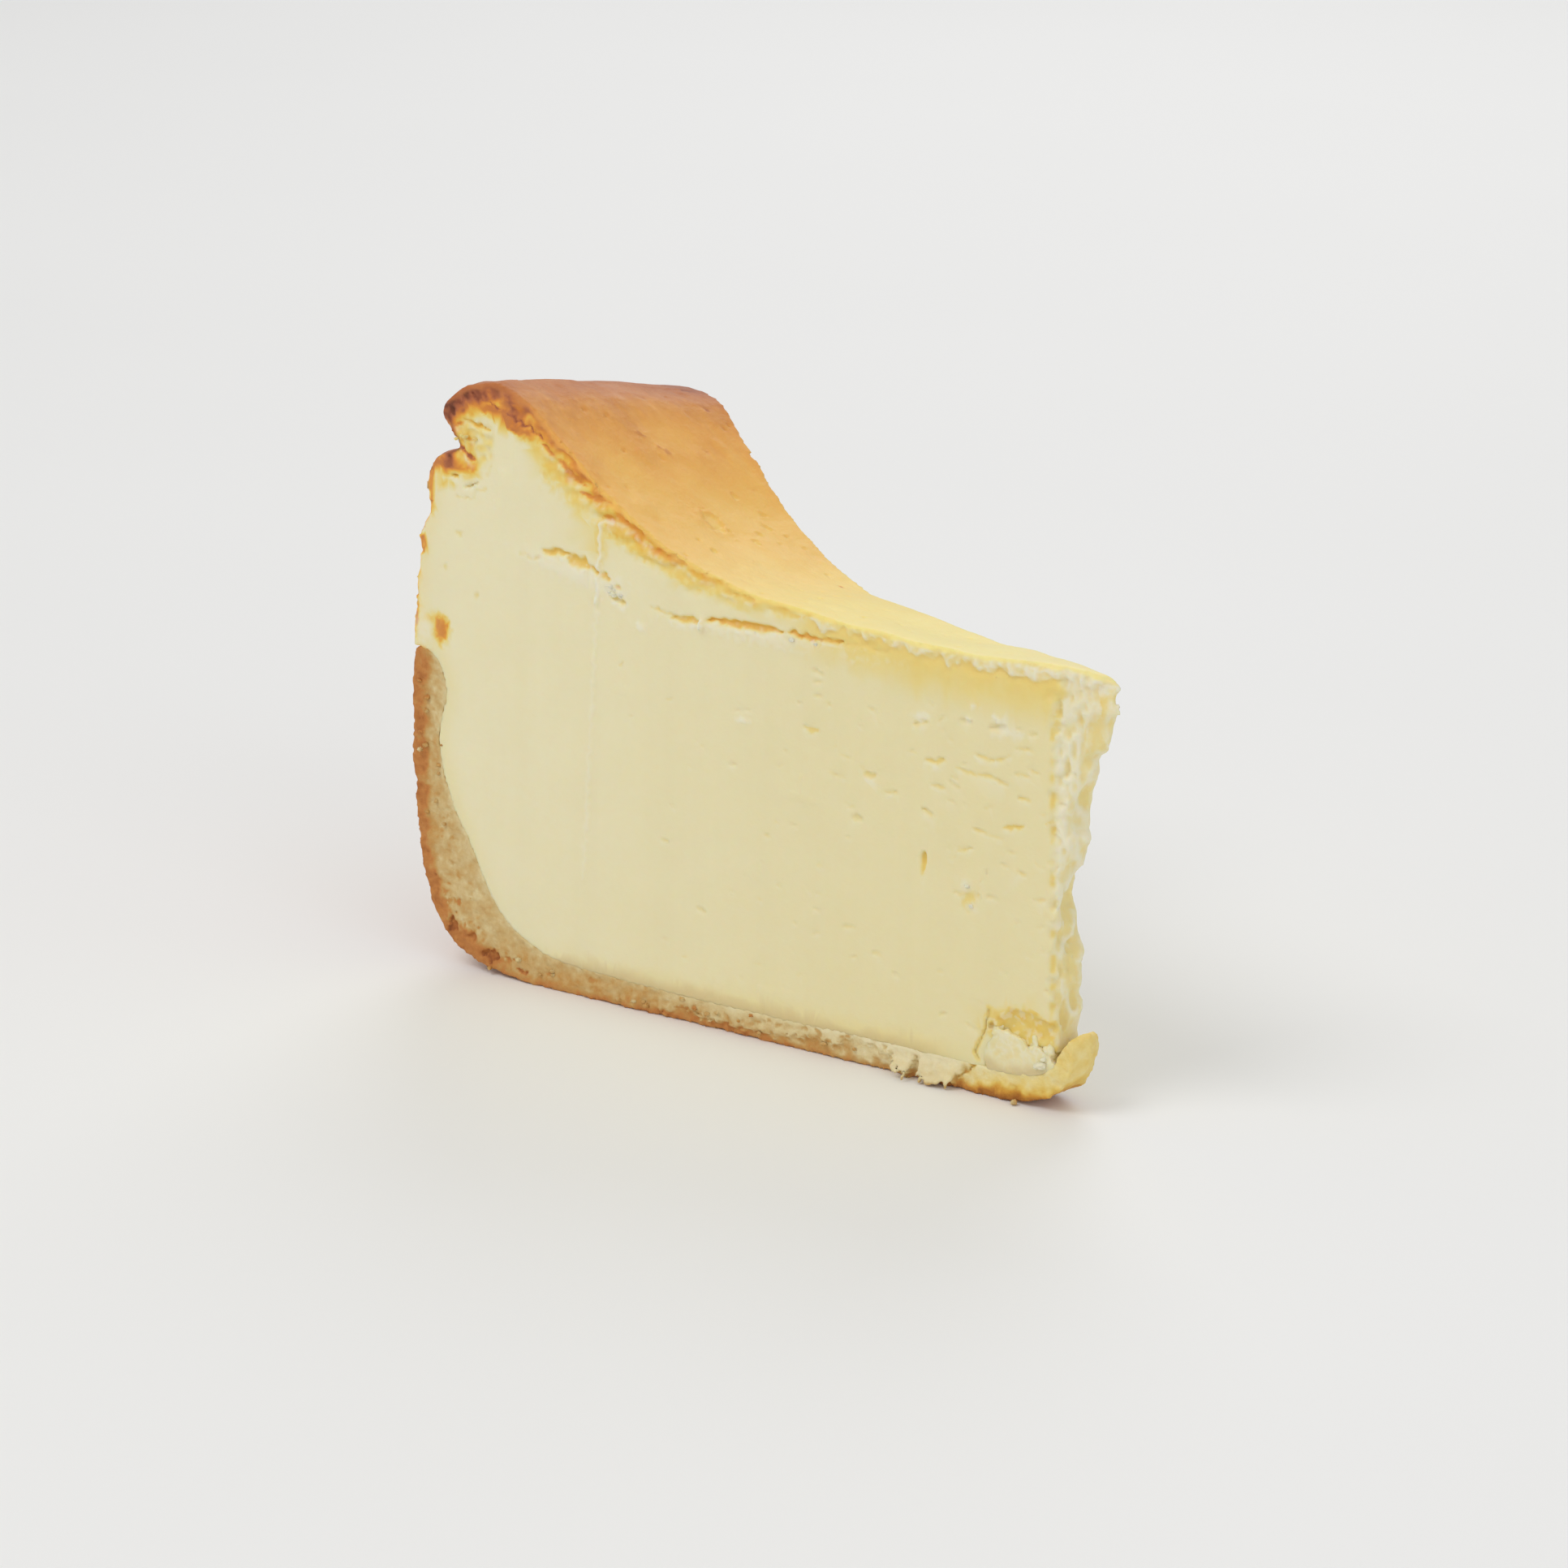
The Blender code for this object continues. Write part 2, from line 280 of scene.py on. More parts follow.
# ---------------------------------------------------------------- relief maps
class Map:
    """Relief (mm below the plain surface) and colour masks over a surface in two
    coordinates, u across and v up."""
    def __init__(self, seed, u_range, v_range, masks, step=MAP_STEP):
        self.seed, self.step = seed, step
        self.u0, self.v0 = u_range[0], v_range[0]
        self.u = np.arange(u_range[0], u_range[1], step, dtype=F)[:, None]
        self.v = np.arange(v_range[0], v_range[1], step, dtype=F)[None, :]
        self.shape = (self.u.size, self.v.size)
        self.relief = np.zeros(self.shape, F)
        for name in masks:
            setattr(self, name, np.zeros(self.shape, F))
        self._grains = {}

    def grain(self, size, seed=0, stretch=(1.0, 1.0)):
        """Noise over the map, its bumps about this size in mm, standard deviation 1."""
        key = (size, seed, stretch)
        if key not in self._grains:
            white = np.random.default_rng(self.seed * 1000 + seed).standard_normal(self.shape)
            fu = np.fft.fftfreq(self.shape[0], self.step)[:, None] * stretch[0]
            fv = np.fft.rfftfreq(self.shape[1], self.step)[None, :] * stretch[1]
            k = np.hypot(fu, fv) * size + 1e-6
            keep = np.exp(-np.log(k) ** 2 / (2 * 0.42 ** 2))
            out = np.fft.irfft2(np.fft.rfft2(white) * keep, self.shape)
            self._grains[key] = (out / out.std()).astype(F)
        return self._grains[key]

    def curd(self, size, seed=0, stretch=(1.0, 1.0)):
        return (0.7 * np.abs(self.grain(size * 1.7, seed, stretch))
                + 0.4 * np.abs(self.grain(size * 0.8, seed + 1, stretch))
                + 0.2 * np.abs(self.grain(size * 0.4, seed + 2)))

    def window(self, u, v, reach):
        i0 = max(int((u - reach - self.u0) / self.step), 0)
        j0 = max(int((v - reach - self.v0) / self.step), 0)
        i1 = max(int((u + reach - self.u0) / self.step) + 2, i0 + 1)
        j1 = max(int((v + reach - self.v0) / self.step) + 2, j0 + 1)
        return slice(i0, min(i1, self.shape[0])), slice(j0, min(j1, self.shape[1]))

    def tear(self, u, v, length, height, depth, tilt=0.0, bend=0.0, jag=0.16, colour=0.5,
             halo=0.35, lip=0.5, mask="torn"):
        """A ragged slot, long side along u. Its floor and a halo round it take the mask's colour, partly the torn
        curd's own colour and partly painted shade in the recess. Its lower edge carries pale curd, partly painted
        highlight on the ledge.
        """
        w = self.window(u, v, 0.5 * length + 2.5 * height + 1.2)
        du = self.u[w[0]] - u
        dv = self.v[:, w[1]] - v - tilt * du
        x = du / (0.5 * length * math.sqrt(1 / (1 + tilt * tilt)))
        dv = dv - bend * (1 - x * x) - 0.10 * height * self.grain(2.4, 91)[w]
        half = 0.5 * height * (1 + jag * self.grain(2.0, 92)[w] + 0.6 * jag * self.grain(0.9, 93)[w])
        half = np.maximum(half * np.clip(1 - x * x, 0, 1) ** 0.6, 1e-3)
        q = np.abs(dv) / half
        cut = ease(1.2, 0.55, q) * (np.abs(x) < 1)
        # The roof overhangs: the floor falls away from the upper edge and rises to the lower.
        slope = np.clip(0.75 + 0.35 * dv / half, 0.3, 1.1)
        self.relief[w] = np.maximum(self.relief[w], cut * depth * slope)
        # The slot and its halo: own colour of torn curd or crumb, partly painted shade in the recess.
        field = getattr(self, mask)
        near = np.exp(-np.maximum(np.abs(dv) - half, 0) / halo) * np.exp(-np.maximum(np.abs(x) - 1, 0) * 0.5 * length / halo)
        field[w] = np.maximum(field[w], colour * np.maximum(cut, 0.3 * near))
        # The lip below: pale curd, partly painted highlight on the proud ledge.
        if lip and mask == "torn":
            below = np.exp(-((dv + half + 0.30 * height + 0.12) / (0.28 * height + 0.14)) ** 2)
            below = below * ease(1.15, 0.75, np.abs(x)) * np.clip(0.75 + 0.45 * self.grain(1.4, 95)[w], 0, 1.3)
            self.white[w] = np.maximum(self.white[w], lip * below)
            self.relief[w] -= 0.18 * lip * below * (1 - cut)

    def spot(self, u, v, size_u, size_v, value, mask="torn", tilt=0.0, jag=0.3, depth=0.0, soft=0.5):
        """A stain, with an uneven edge, and a dent or a swelling if a depth is given."""
        w = self.window(u, v, max(size_u, size_v) * 1.3)
        du = self.u[w[0]] - u
        dv = self.v[:, w[1]] - v - tilt * du
        q = np.hypot(du / size_u * 2, dv / size_v * 2) + jag * self.grain(1.5, 96)[w] + 0.5 * jag * self.grain(0.7, 97)[w]
        inside = ease(1 + soft, 1 - soft, q)
        if mask:
            field = getattr(self, mask)
            field[w] = np.maximum(field[w], value * inside)
        if depth:
            self.relief[w] += depth * inside

    def line(self, points, width, depth, value=0.0, mask="torn", jag=0.3):
        """A groove along a run of points, or a ridge if the depth is negative."""
        du = self.grain(2.2, 98) * 0.16
        away = distance_to(points, self.u + du, self.v + self.grain(2.2, 99) * 0.12)
        half = 0.5 * width * (1 + jag * self.grain(1.5, 90))
        cut = ease(1.3, 0.4, away / np.maximum(half, 0.02))
        self.relief += depth * cut
        if value:
            field = getattr(self, mask)
            np.maximum(field, value * cut, out=field)

    def at(self, name, u, v):
        return sample(getattr(self, name), (u - self.u0) / self.step, (v - self.v0) / self.step)


def cut_face(seed, t):
    """The part of a cut face that both faces share: a torn band under the skin's edge,
    with the heat's colour fading down from it, and the smooth cut below."""
    face = Map(seed, (0.0, 121.0), (-2.0, 88.0), ("torn", "white", "edge"))
    u, z = face.u, face.v
    below = distance_to(skin_line(t), u, z)
    below = below + 0.14 * face.grain(4.0, 1) + 0.05 * face.grain(1.6, 2)
    thick = along([(5, 5.0), (12, 4.6), (22, 4.0), (34, 3.6), (42, 3.0), (50, 2.8), (62, 3.4),
                   (72, 4.6), (80, 5.2), (86, 5.4), (92, 5.3), (98, 5.2), (104, 5.0), (110, 4.5)], u)
    heat = along([(5, 0.22), (30, 0.26), (45, 0.34), (56, 0.42), (68, 0.53), (78, 0.63), (86, 0.71), (92, 0.74),
                  (98, 0.80), (104, 0.86), (112, 0.88)], u)
    plate = along([(88, 0.05), (94, 0.25), (97, 0.48), (106, 0.52)], u)
    q = below / thick + 0.10 * face.grain(5.0, 3) + 0.03 * face.grain(1.6, 4)
    edge = ease(0.25, 0.75, below)
    face.torn = heat * ease(1.0, plate - 0.1, q) * np.clip(1 + 0.045 * face.grain(2.6, 6) + 0.03 * face.grain(1.1, 7), 0.5, 1.3)
    face.edge = ease(0.75, 0.35, below)
    # The skin rolls over a little, and its raw edge breaks up into small crumbs.
    face.relief += ease(1.1, 0.1, below) * (0.12 + 0.06 * np.abs(face.grain(3.0, 5)))
    step = along([(8, 0.20), (40, 0.20), (60, 0.30), (72, 0.5), (84, 0.65), (94, 0.45), (100, 0.25), (106, 0.2)], u)
    run = ease(1.0, 0.45, below / thick)
    face.relief += step * edge * run * np.clip(0.45 + 0.5 * face.grain(4.5, 8, (1.6, 0.6)), 0, 1.3)
    crumbly = np.exp(-((below - 1.0) / 0.75) ** 2) * ease(62, 72, u) * ease(98, 90, u) * ease(-0.3, 0.6, face.grain(6.0, 9))
    face.relief += 0.42 * crumbly * np.clip(face.curd(1.6, 10) - 0.1, 0, 1.2)
    # The crumbs' proud tops are painted paler, partly pale curd and partly painted highlight.
    face.white = np.maximum(face.white, 0.10 * crumbly * ease(0.6, 0.2, face.curd(1.6, 10)))
    # The cut itself: nearly flat, with faint waves left by the knife.
    face.relief += 0.014 * face.grain(6.0, 20, (0.5, 4.0)) + 0.05 * face.grain(16.0, 21)
    # A pale strip of curd hangs under the skin of the thin half. Below it a painted shadow tints the cut yellow, and
    # the strip is whiter on its proud lumps, partly painted highlight, and yellow in its dips as painted shade.
    hang = ease(56.0, 50.0, u)
    drop = 1.25 + 0.34 * face.grain(5.0, 22, (1.0, 4.0)) + 0.18 * face.grain(2.2, 23, (1.0, 4.0))
    drop = drop + 0.9 * ease(36.0, 20.0, u)
    strip = ease(0.22, -0.22, below - drop) * hang * ease(0.2, 0.5, below)
    shade = ease(drop + 7.0, drop + 0.1, below) * ease(drop - 0.3, drop + 0.2, below) * hang
    lumps = face.curd(2.0, 25)
    face.relief += strip * (-0.26 + 0.20 * lumps - 0.6 * face.relief) + 0.26 * np.exp(-((below - drop - 0.35) / 0.5) ** 2) * hang
    face.white = np.maximum(face.white, strip * np.clip(0.54 - 0.40 * lumps + 0.16 * ease(44.0, 34.0, u) + 0.25 * ease(34.0, 20.0, u), 0.06, 0.85))
    # Painted shadow under the strip, and painted shade in its dips.
    face.torn = np.maximum(face.torn * (1 - 0.8 * strip) * (1 - 0.6 * hang * ease(0.3, 0.9, below)), 0.30 * shade)
    face.torn = np.maximum(face.torn, strip * 0.18 * ease(0.7, 1.2, lumps))
    face.torn = face.torn + along([(10, 0.095), (40, 0.08), (70, 0.05), (95, 0.02)], u) * np.clip(1 - 3 * face.torn, 0, 1)
    return face


def front_face():
    face = cut_face(7, 0.0)
    u, z = face.u, face.v
    # Hollows under the skin's edge, each over a pale ledge, partly painted highlight, and coloured inside partly as
    # painted shade: (u, z, length, height, tilt)
    for cu, cz, long, high, tilt, deep, hot in (
            (92.6, 75.6, 2.6, 0.9, 0.60, 0.9, 0.70), (90.2, 73.9, 2.4, 0.9, 0.5, 1.1, 0.68),
            (88.4, 72.4, 3.6, 1.2, 0.54, 1.3, 0.68), (85.4, 70.2, 4.6, 1.1, 0.14, 1.3, 0.66),
            (83.0, 67.6, 2.6, 1.0, 0.2, 0.9, 0.58), (80.4, 67.6, 3.6, 1.0, 0.44, 1.3, 0.62),
            (77.4, 65.9, 3.0, 0.8, 0.3, 0.9, 0.56), (73.9, 64.2, 7.0, 1.0, 0.26, 1.2, 0.55),
            (68.4, 62.3, 4.6, 0.8, 0.20, 0.9, 0.48), (62.4, 60.7, 5.4, 0.8, 0.10, 0.8, 0.42),
            (55.2, 59.6, 6.2, 0.7, 0.08, 0.6, 0.36)):
        face.tear(cu, cz, long, high, 0.62 * deep, tilt=tilt, jag=0.2, colour=hot, halo=0.9, lip=0.4)
    for cu, cz, su, sv, value in (
            (81.4, 66.4, 6.0, 3.0, 0.46), (84.3, 65.0, 2.6, 5.6, 0.28), (77.2, 64.3, 8.0, 2.4, 0.42),
            (71.2, 61.9, 9.0, 2.0, 0.38), (63.8, 60.1, 9.0, 1.8, 0.28), (87.6, 70.2, 5.0, 4.4, 0.36),
            (91.6, 73.4, 5.0, 4.2, 0.42)):
        face.spot(cu, cz, su, sv, value, tilt=0.3, soft=0.9, jag=0.15)
    # The long tears that opened inside the face, and a small hole among them coloured in, partly as painted shade
    for cu, cz, long, high, tilt in ((91.2, 61.8, 4.8, 1.15, -0.13), (87.1, 61.0, 4.8, 1.75, 0.16),
                                     (83.7, 59.9, 3.0, 1.35, 0.34)):
        face.tear(cu, cz, long, high, 0.6, tilt=tilt, jag=0.12, colour=0.42, lip=0.6, halo=0.2)
    face.spot(87.0, 59.3, 15.0, 2.2, 0.50, mask="white", tilt=0.17, depth=-0.20, soft=0.9, jag=0.2)
    face.spot(82.2, 58.6, 5.0, 2.2, 0.60, mask="white", tilt=0.3, depth=-0.28, soft=0.5, jag=0.5)
    face.spot(81.2, 58.7, 1.0, 0.7, 0.52, depth=0.7)
    face.tear(81.2, 56.9, 2.8, 0.8, 0.7, tilt=0.35, colour=0.22, lip=0.8)
    for cu, cz, long, high, tilt, hot in ((70.4, 56.0, 5.0, 0.80, -0.05, 0.44), (61.3, 56.8, 12.4, 0.95, -0.03, 0.53),
                                          (52.2, 56.85, 5.2, 0.85, 0.08, 0.57), (48.2, 56.9, 4.0, 0.65, 0.0, 0.48)):
        face.tear(cu, cz, long, 1.15 * high, 0.6, tilt=tilt, bend=0.12, jag=0.12, colour=0.98 * hot, lip=0.7, halo=0.22)
    face.spot(68.0, 55.9, 0.8, 1.3, 0.9, mask="white", depth=-1.0, soft=0.35)
    face.spot(51.0, 56.4, 0.8, 1.0, 0.8, mask="white", depth=-0.9, soft=0.4)
    face.spot(57.0, 55.6, 20.0, 1.6, 0.42, mask="white", depth=-0.14, soft=0.8, jag=0.4)
    # Two grooves, painted darker as shade in them
    face.line([(76.0, 57.1), (74.0, 56.7), (72.4, 56.2)], 0.35, 0.25, 0.22)
    face.line([(46.8, 57.0), (43.0, 57.2), (40.0, 57.0)], 0.45, 0.3, 0.3)
    # Holes and short tears of the thin half, their colour painted shade in them
    for cu, cz, long, high, tilt, hot, lip in (
            (50.8, 44.6, 2.6, 0.85, 0.0, 0.34, 0.4), (48.2, 48.5, 0.9, 0.5, 0.2, 0.2, 0.2),
            (41.7, 49.0, 1.5, 0.5, 0.4, 0.2, 0.3), (61.6, 45.3, 3.6, 0.35, -0.2, 0.10, 0.1),
            (62.8, 37.7, 1.5, 0.5, 0.0, 0.12, 0.4), (47.3, 43.0, 1.0, 0.4, -0.4, 0.18, 0.2),
            (45.6, 42.0, 1.9, 0.4, 0.2, 0.18, 0.3), (46.6, 39.2, 2.6, 0.45, 0.12, 0.2, 0.2),
            (41.8, 40.1, 1.9, 0.8, -0.1, 0.26, 0.7), (38.7, 38.4, 2.6, 0.5, -0.15, 0.24, 0.4),
            (32.3, 43.8, 3.2, 1.0, -0.15, 0.34, 0.7), (31.7, 40.5, 2.4, 0.6, 0.0, 0.26, 0.6),
            (34.6, 48.4, 2.2, 1.0, -0.2, 0.22, 0.4), (43.5, 34.0, 1.8, 0.9, 0.1, 0.2, 0.3),
            (33.1, 36.8, 1.8, 1.0, 0.3, 0.26, 0.5), (27.6, 43.3, 3.6, 0.6, 0.16, 0.28, 0.4),
            (24.8, 43.2, 2.4, 0.65, -0.05, 0.30, 0.5), (22.6, 42.9, 2.8, 0.6, 0.2, 0.28, 0.5),
            (25.1, 45.6, 3.2, 0.55, 0.2, 0.28, 0.5), (22.4, 46.0, 3.0, 0.55, -0.5, 0.28, 0.6),
            (19.3, 47.7, 2.8, 0.45, -0.1, 0.24, 0.4), (19.4, 44.3, 2.5, 0.45, -0.05, 0.26, 0.4),
            (17.8, 45.1, 1.8, 0.45, 0.2, 0.26, 0.4), (19.1, 41.2, 2.0, 0.6, 0.0, 0.32, 0.4),
            (25.3, 35.8, 2.4, 0.6, 0.2, 0.28, 0.4), (23.2, 35.4, 2.8, 0.45, 0.1, 0.22, 0.3),
            (20.4, 37.2, 3.4, 0.7, -0.2, 0.46, 0.4), (14.9, 39.0, 2.6, 0.55, -0.5, 0.32, 0.5),
            (13.6, 45.2, 2.6, 0.9, -0.3, 0.42, 0.6), (13.6, 41.1, 1.8, 0.6, 0.0, 0.3, 0.5),
            (27.4, 32.9, 2.6, 0.55, -0.35, 0.26, 0.4), (29.1, 31.5, 1.3, 0.4, -0.5, 0.2, 0.3),
            (20.7, 33.8, 1.8, 0.4, 0.0, 0.2, 0.2), (21.5, 31.9, 1.5, 0.4, 0.0, 0.2, 0.2),
            (19.0, 31.3, 1.6, 0.6, 0.3, 0.24, 0.5), (16.1, 28.3, 2.2, 0.45, -0.1, 0.24, 0.3),
            (14.3, 31.5, 1.6, 0.4, 0.0, 0.22, 0.2), (29.3, 42.2, 1.2, 0.4, 0.2, 0.22, 0.3),
            (18.1, 49.9, 1.4, 0.5, -0.2, 0.2, 0.5), (29.6, 38.9, 1.5, 0.4, 0.1, 0.18, 0.2),
            (24.2, 39.2, 1.3, 0.4, -0.2, 0.2, 0.3), (52.7, 47.9, 0.9, 0.4, 0.0, 0.14, 0.2),
            (54.7, 41.1, 0.9, 0.4, 0.3, 0.14, 0.2), (43.0, 40.9, 0.9, 0.4, 0.5, 0.18, 0.2),
            (27.9, 49.9, 1.8, 0.9, 0.0, 0.14, 0.4), (23.2, 49.9, 2.6, 1.4, -0.1, 0.12, 0.5)):
        face.tear(cu, cz, long, 0.9 * high + 0.06, 0.15 + 0.32 * high, tilt=tilt, colour=0.72 * hot, lip=lip * 0.8, halo=0.25)
    face.tear(33.5, 30.0, 0.75, 3.6, 0.8, jag=0.08, colour=0.34, lip=0.2, halo=0.3)
    for cu, cz, size in ((22.6, 50.8, 1.2), (26.8, 52.1, 0.8), (27.5, 50.2, 0.9), (23.5, 51.1, 1.0), (22.0, 49.9, 1.6),
                         (20.5, 49.4, 1.4), (34.4, 49.3, 1.5), (61.4, 44.0, 1.2), (77.6, 53.9, 1.2)):
        face.spot(cu, cz, size * 1.3, size * 0.8, 0.7, mask="white", depth=-0.18, soft=0.6)
    # A crumbled patch low in the thin half: its dent painted yellow as shade, its proud crumbs white
    face.spot(26.6, 26.6, 2.2, 3.4, 0.24, depth=0.25, soft=0.6, jag=0.25)
    face.spot(26.9, 27.9, 1.8, 1.6, 0.7, mask="white", depth=-0.35, soft=0.6, jag=0.25)
    face.spot(26.0, 25.4, 1.6, 1.0, 0.6, mask="white", depth=-0.3, soft=0.6, jag=0.25)
    # Small pores over the thin half, very few towards the rim, each painted a little darker as shade in it
    rng = np.random.default_rng(31)
    for _ in range(80):
        cu = 14 + 70 * rng.random() ** 1.7
        cz = 8 + 46 * rng.random()
        s = 0.5 + 0.5 * rng.random() ** 2
        face.tear(cu, cz, s * (1.4 + rng.random()), s * 0.45 + 0.12, 0.12 + 0.2 * s,
                  tilt=rng.normal() * 0.3, colour=0.08 + 0.07 * rng.random(), lip=0.2, halo=0.2)
    # The knife's ridge, painted white along its crest, partly as a highlight; the fine cracks round the collar and the
    # small dents by them, painted darker as shade in them
    face.line([(83.9, 66.8), (84.1, 63.0), (84.5, 56.0)], 0.62, -0.34, 0.9, mask="white", jag=0.1)
    face.line([(84.5, 56.5), (85.2, 40.0), (86.3, 17.2)], 0.55, -0.16, 0.30, mask="white", jag=0.1)
    face.line([(83.9, 66.8), (83.2, 67.4), (82.0, 67.2)], 0.55, -0.30, 0.8, mask="white", jag=0.1)
    face.line([(107.4, 67.2), (106.2, 66.9), (105.0, 67.0), (104.2, 68.0), (103.4, 68.4), (102.6, 68.8)], 0.4, 0.25, 0.16)
    face.line([(102.7, 70.4), (102.0, 71.2), (101.3, 72.0)], 0.4, 0.2, 0.12)
    face.line([(93.4, 72.2), (91.9, 71.1)], 0.35, 0.2, 0.2)
    face.line([(96.6, 60.8), (94.8, 60.2), (93.6, 60.9)], 0.35, 0.2, 0.14)
    for cu, cz in ((107.0, 61.9), (104.1, 53.9), (109.3, 57.0)):
        face.spot(cu, cz, 0.9, 0.7, 0.18, depth=0.2)
    # The peeled plate under the skin, and its crack, painted dark as shade in it
    face.line([(104.9, 81.6), (101.4, 80.3), (98.0, 79.0), (95.4, 77.9), (93.4, 76.6)], 0.34, 0.40, 0.90, jag=0.2)
    face.spot(99.8, 78.9, 10.0, 2.5, 0.78, tilt=0.40, soft=0.5, depth=-0.2, jag=0.12)
    # The torn lip: red-brown crumb at its front, fissures, then paler curd towards the notch
    crumb = ease(3.9, 2.3, np.hypot((u - 108.6) / 1.0, (z - 78.9) / 1.1)) * ease(104.0, 106.0, u)
    face.relief += crumb * (0.05 + 0.13 * face.curd(1.2, 40))
    face.torn = np.maximum(face.torn, crumb * np.clip(0.81 + 0.04 * face.grain(1.5, 41), 0.5, 1.0))
    paler = ease(4.4, 2.2, np.hypot((u - 105.4) / 1.5, z - 74.9)) * ease(100.0, 102.5, u) * ease(108.6, 107.4, u)
    face.relief += paler * 0.28 * face.curd(1.8, 43)
    face.torn = face.torn * (1 - 0.85 * paler) + paler * np.clip(0.17 + 0.06 * face.grain(2.0, 44), 0.05, 0.4)
    for cu, cz, long, high, tilt, hot in (
            (104.3, 77.2, 5.0, 0.6, 0.22, 0.5), (107.4, 76.8, 2.0, 0.6, -0.3, 0.7), (105.4, 75.1, 1.3, 0.7, 0.0, 0.52),
            (105.9, 73.0, 3.4, 0.95, 0.62, 0.84), (107.7, 69.7, 1.6, 0.5, 0.2, 0.4), (104.9, 68.9, 2.8, 0.4, -0.4, 0.16)):
        face.tear(cu, cz, long, high, 0.9, tilt=tilt, jag=0.25, colour=hot, lip=0.4, halo=0.3)
    face.tear(108.2, 78.7, 0.7, 2.2, 0.9, jag=0.2, colour=0.95, lip=0.0)
    # Brown patches on the collar's edge and over the crust
    for cu, cz, su, sv, value in (
            (111.0, 71.4, 3.4, 3.2, 0.72), (111.8, 68.6, 1.8, 4.0, 0.62), (109.0, 68.4, 2.6, 1.2, 0.4), (111.9, 64.9, 1.5, 2.0, 0.84),
            (112.3, 66.2, 1.4, 2.2, 0.5), (113.0, 59.6, 1.5, 2.2, 0.70), (114.2, 56.0, 0.9, 5.0, 0.62),
            (114.1, 50.2, 0.8, 6.0, 0.72), (114.8, 46.8, 1.0, 1.6, 0.6)):
        face.spot(cu, cz, su, sv, value, soft=0.6, jag=0.3)
    face.spot(110.0, 48.1, 2.6, 3.8, 0.72, soft=0.6, jag=0.14, depth=0.15)
    face.spot(111.2, 49.4, 2.4, 1.3, 0.42, soft=0.8, jag=0.15)
    face.spot(113.0, 47.8, 2.6, 3.2, 0.45, mask="white", depth=-0.1, soft=0.6)
    # The face ends at a groove painted yellow as shade in it, and beyond it hangs the torn curtain of the tip: pale on
    # its proud folds, partly painted highlight, yellow in its deep folds and dents as painted shade.
    u_end = along([(8, 13.9), (20, 14.2), (30, 14.7), (40, 15.1), (51, 15.5), (56, 14.6)], z)
    past = ease(0.3, -0.7, u - u_end - 0.28 * face.grain(3.0, 50, (4.0, 1.0)))
    folds = 0.6 * np.abs(face.grain(3.4, 51, (0.7, 2.2))) + 0.35 * np.abs(face.grain(2.4, 52, (0.8, 1.3)))
    face.relief += past * (0.10 + 0.34 * folds + 0.08 * face.curd(1.4, 55) + 0.22 * np.clip(u_end - u, 0, 4))
    face.white = np.maximum(face.white, past * np.clip(0.75 - 0.45 * folds, 0.1, 0.7) * ease(0.2, 0.9, np.abs(u - u_end)))
    face.torn = np.maximum(face.torn * (1 - 0.6 * past), past * 0.16 * ease(0.6, 1.2, folds))
    line = np.exp(-((u - u_end) / 0.40) ** 2) * ease(7.0, 11.0, z) * ease(55.0, 49.0, z) * np.clip(0.6 + 0.5 * face.grain(4.0, 54, (4.0, 1.0)), 0.15, 1)
    face.relief += 0.40 * line
    face.torn = np.maximum(face.torn, 0.32 * line)
    for cu, cz, su, sv in ((12.2, 52.6, 1.2, 2.8), (10.8, 56.0, 1.5, 2.6), (8.9, 57.0, 1.1, 2.4), (14.9, 52.2, 1.2, 3.4),
                           (14.4, 55.6, 4.2, 1.4), (9.8, 48.9, 1.1, 2.6), (10.2, 43.4, 1.3, 2.4), (12.4, 17.9, 1.4, 3.6),
                           (12.6, 27.0, 0.9, 5.5)):
        face.spot(cu, cz, su, sv, 0.24, depth=0.35, soft=0.7, jag=0.25)
    return face


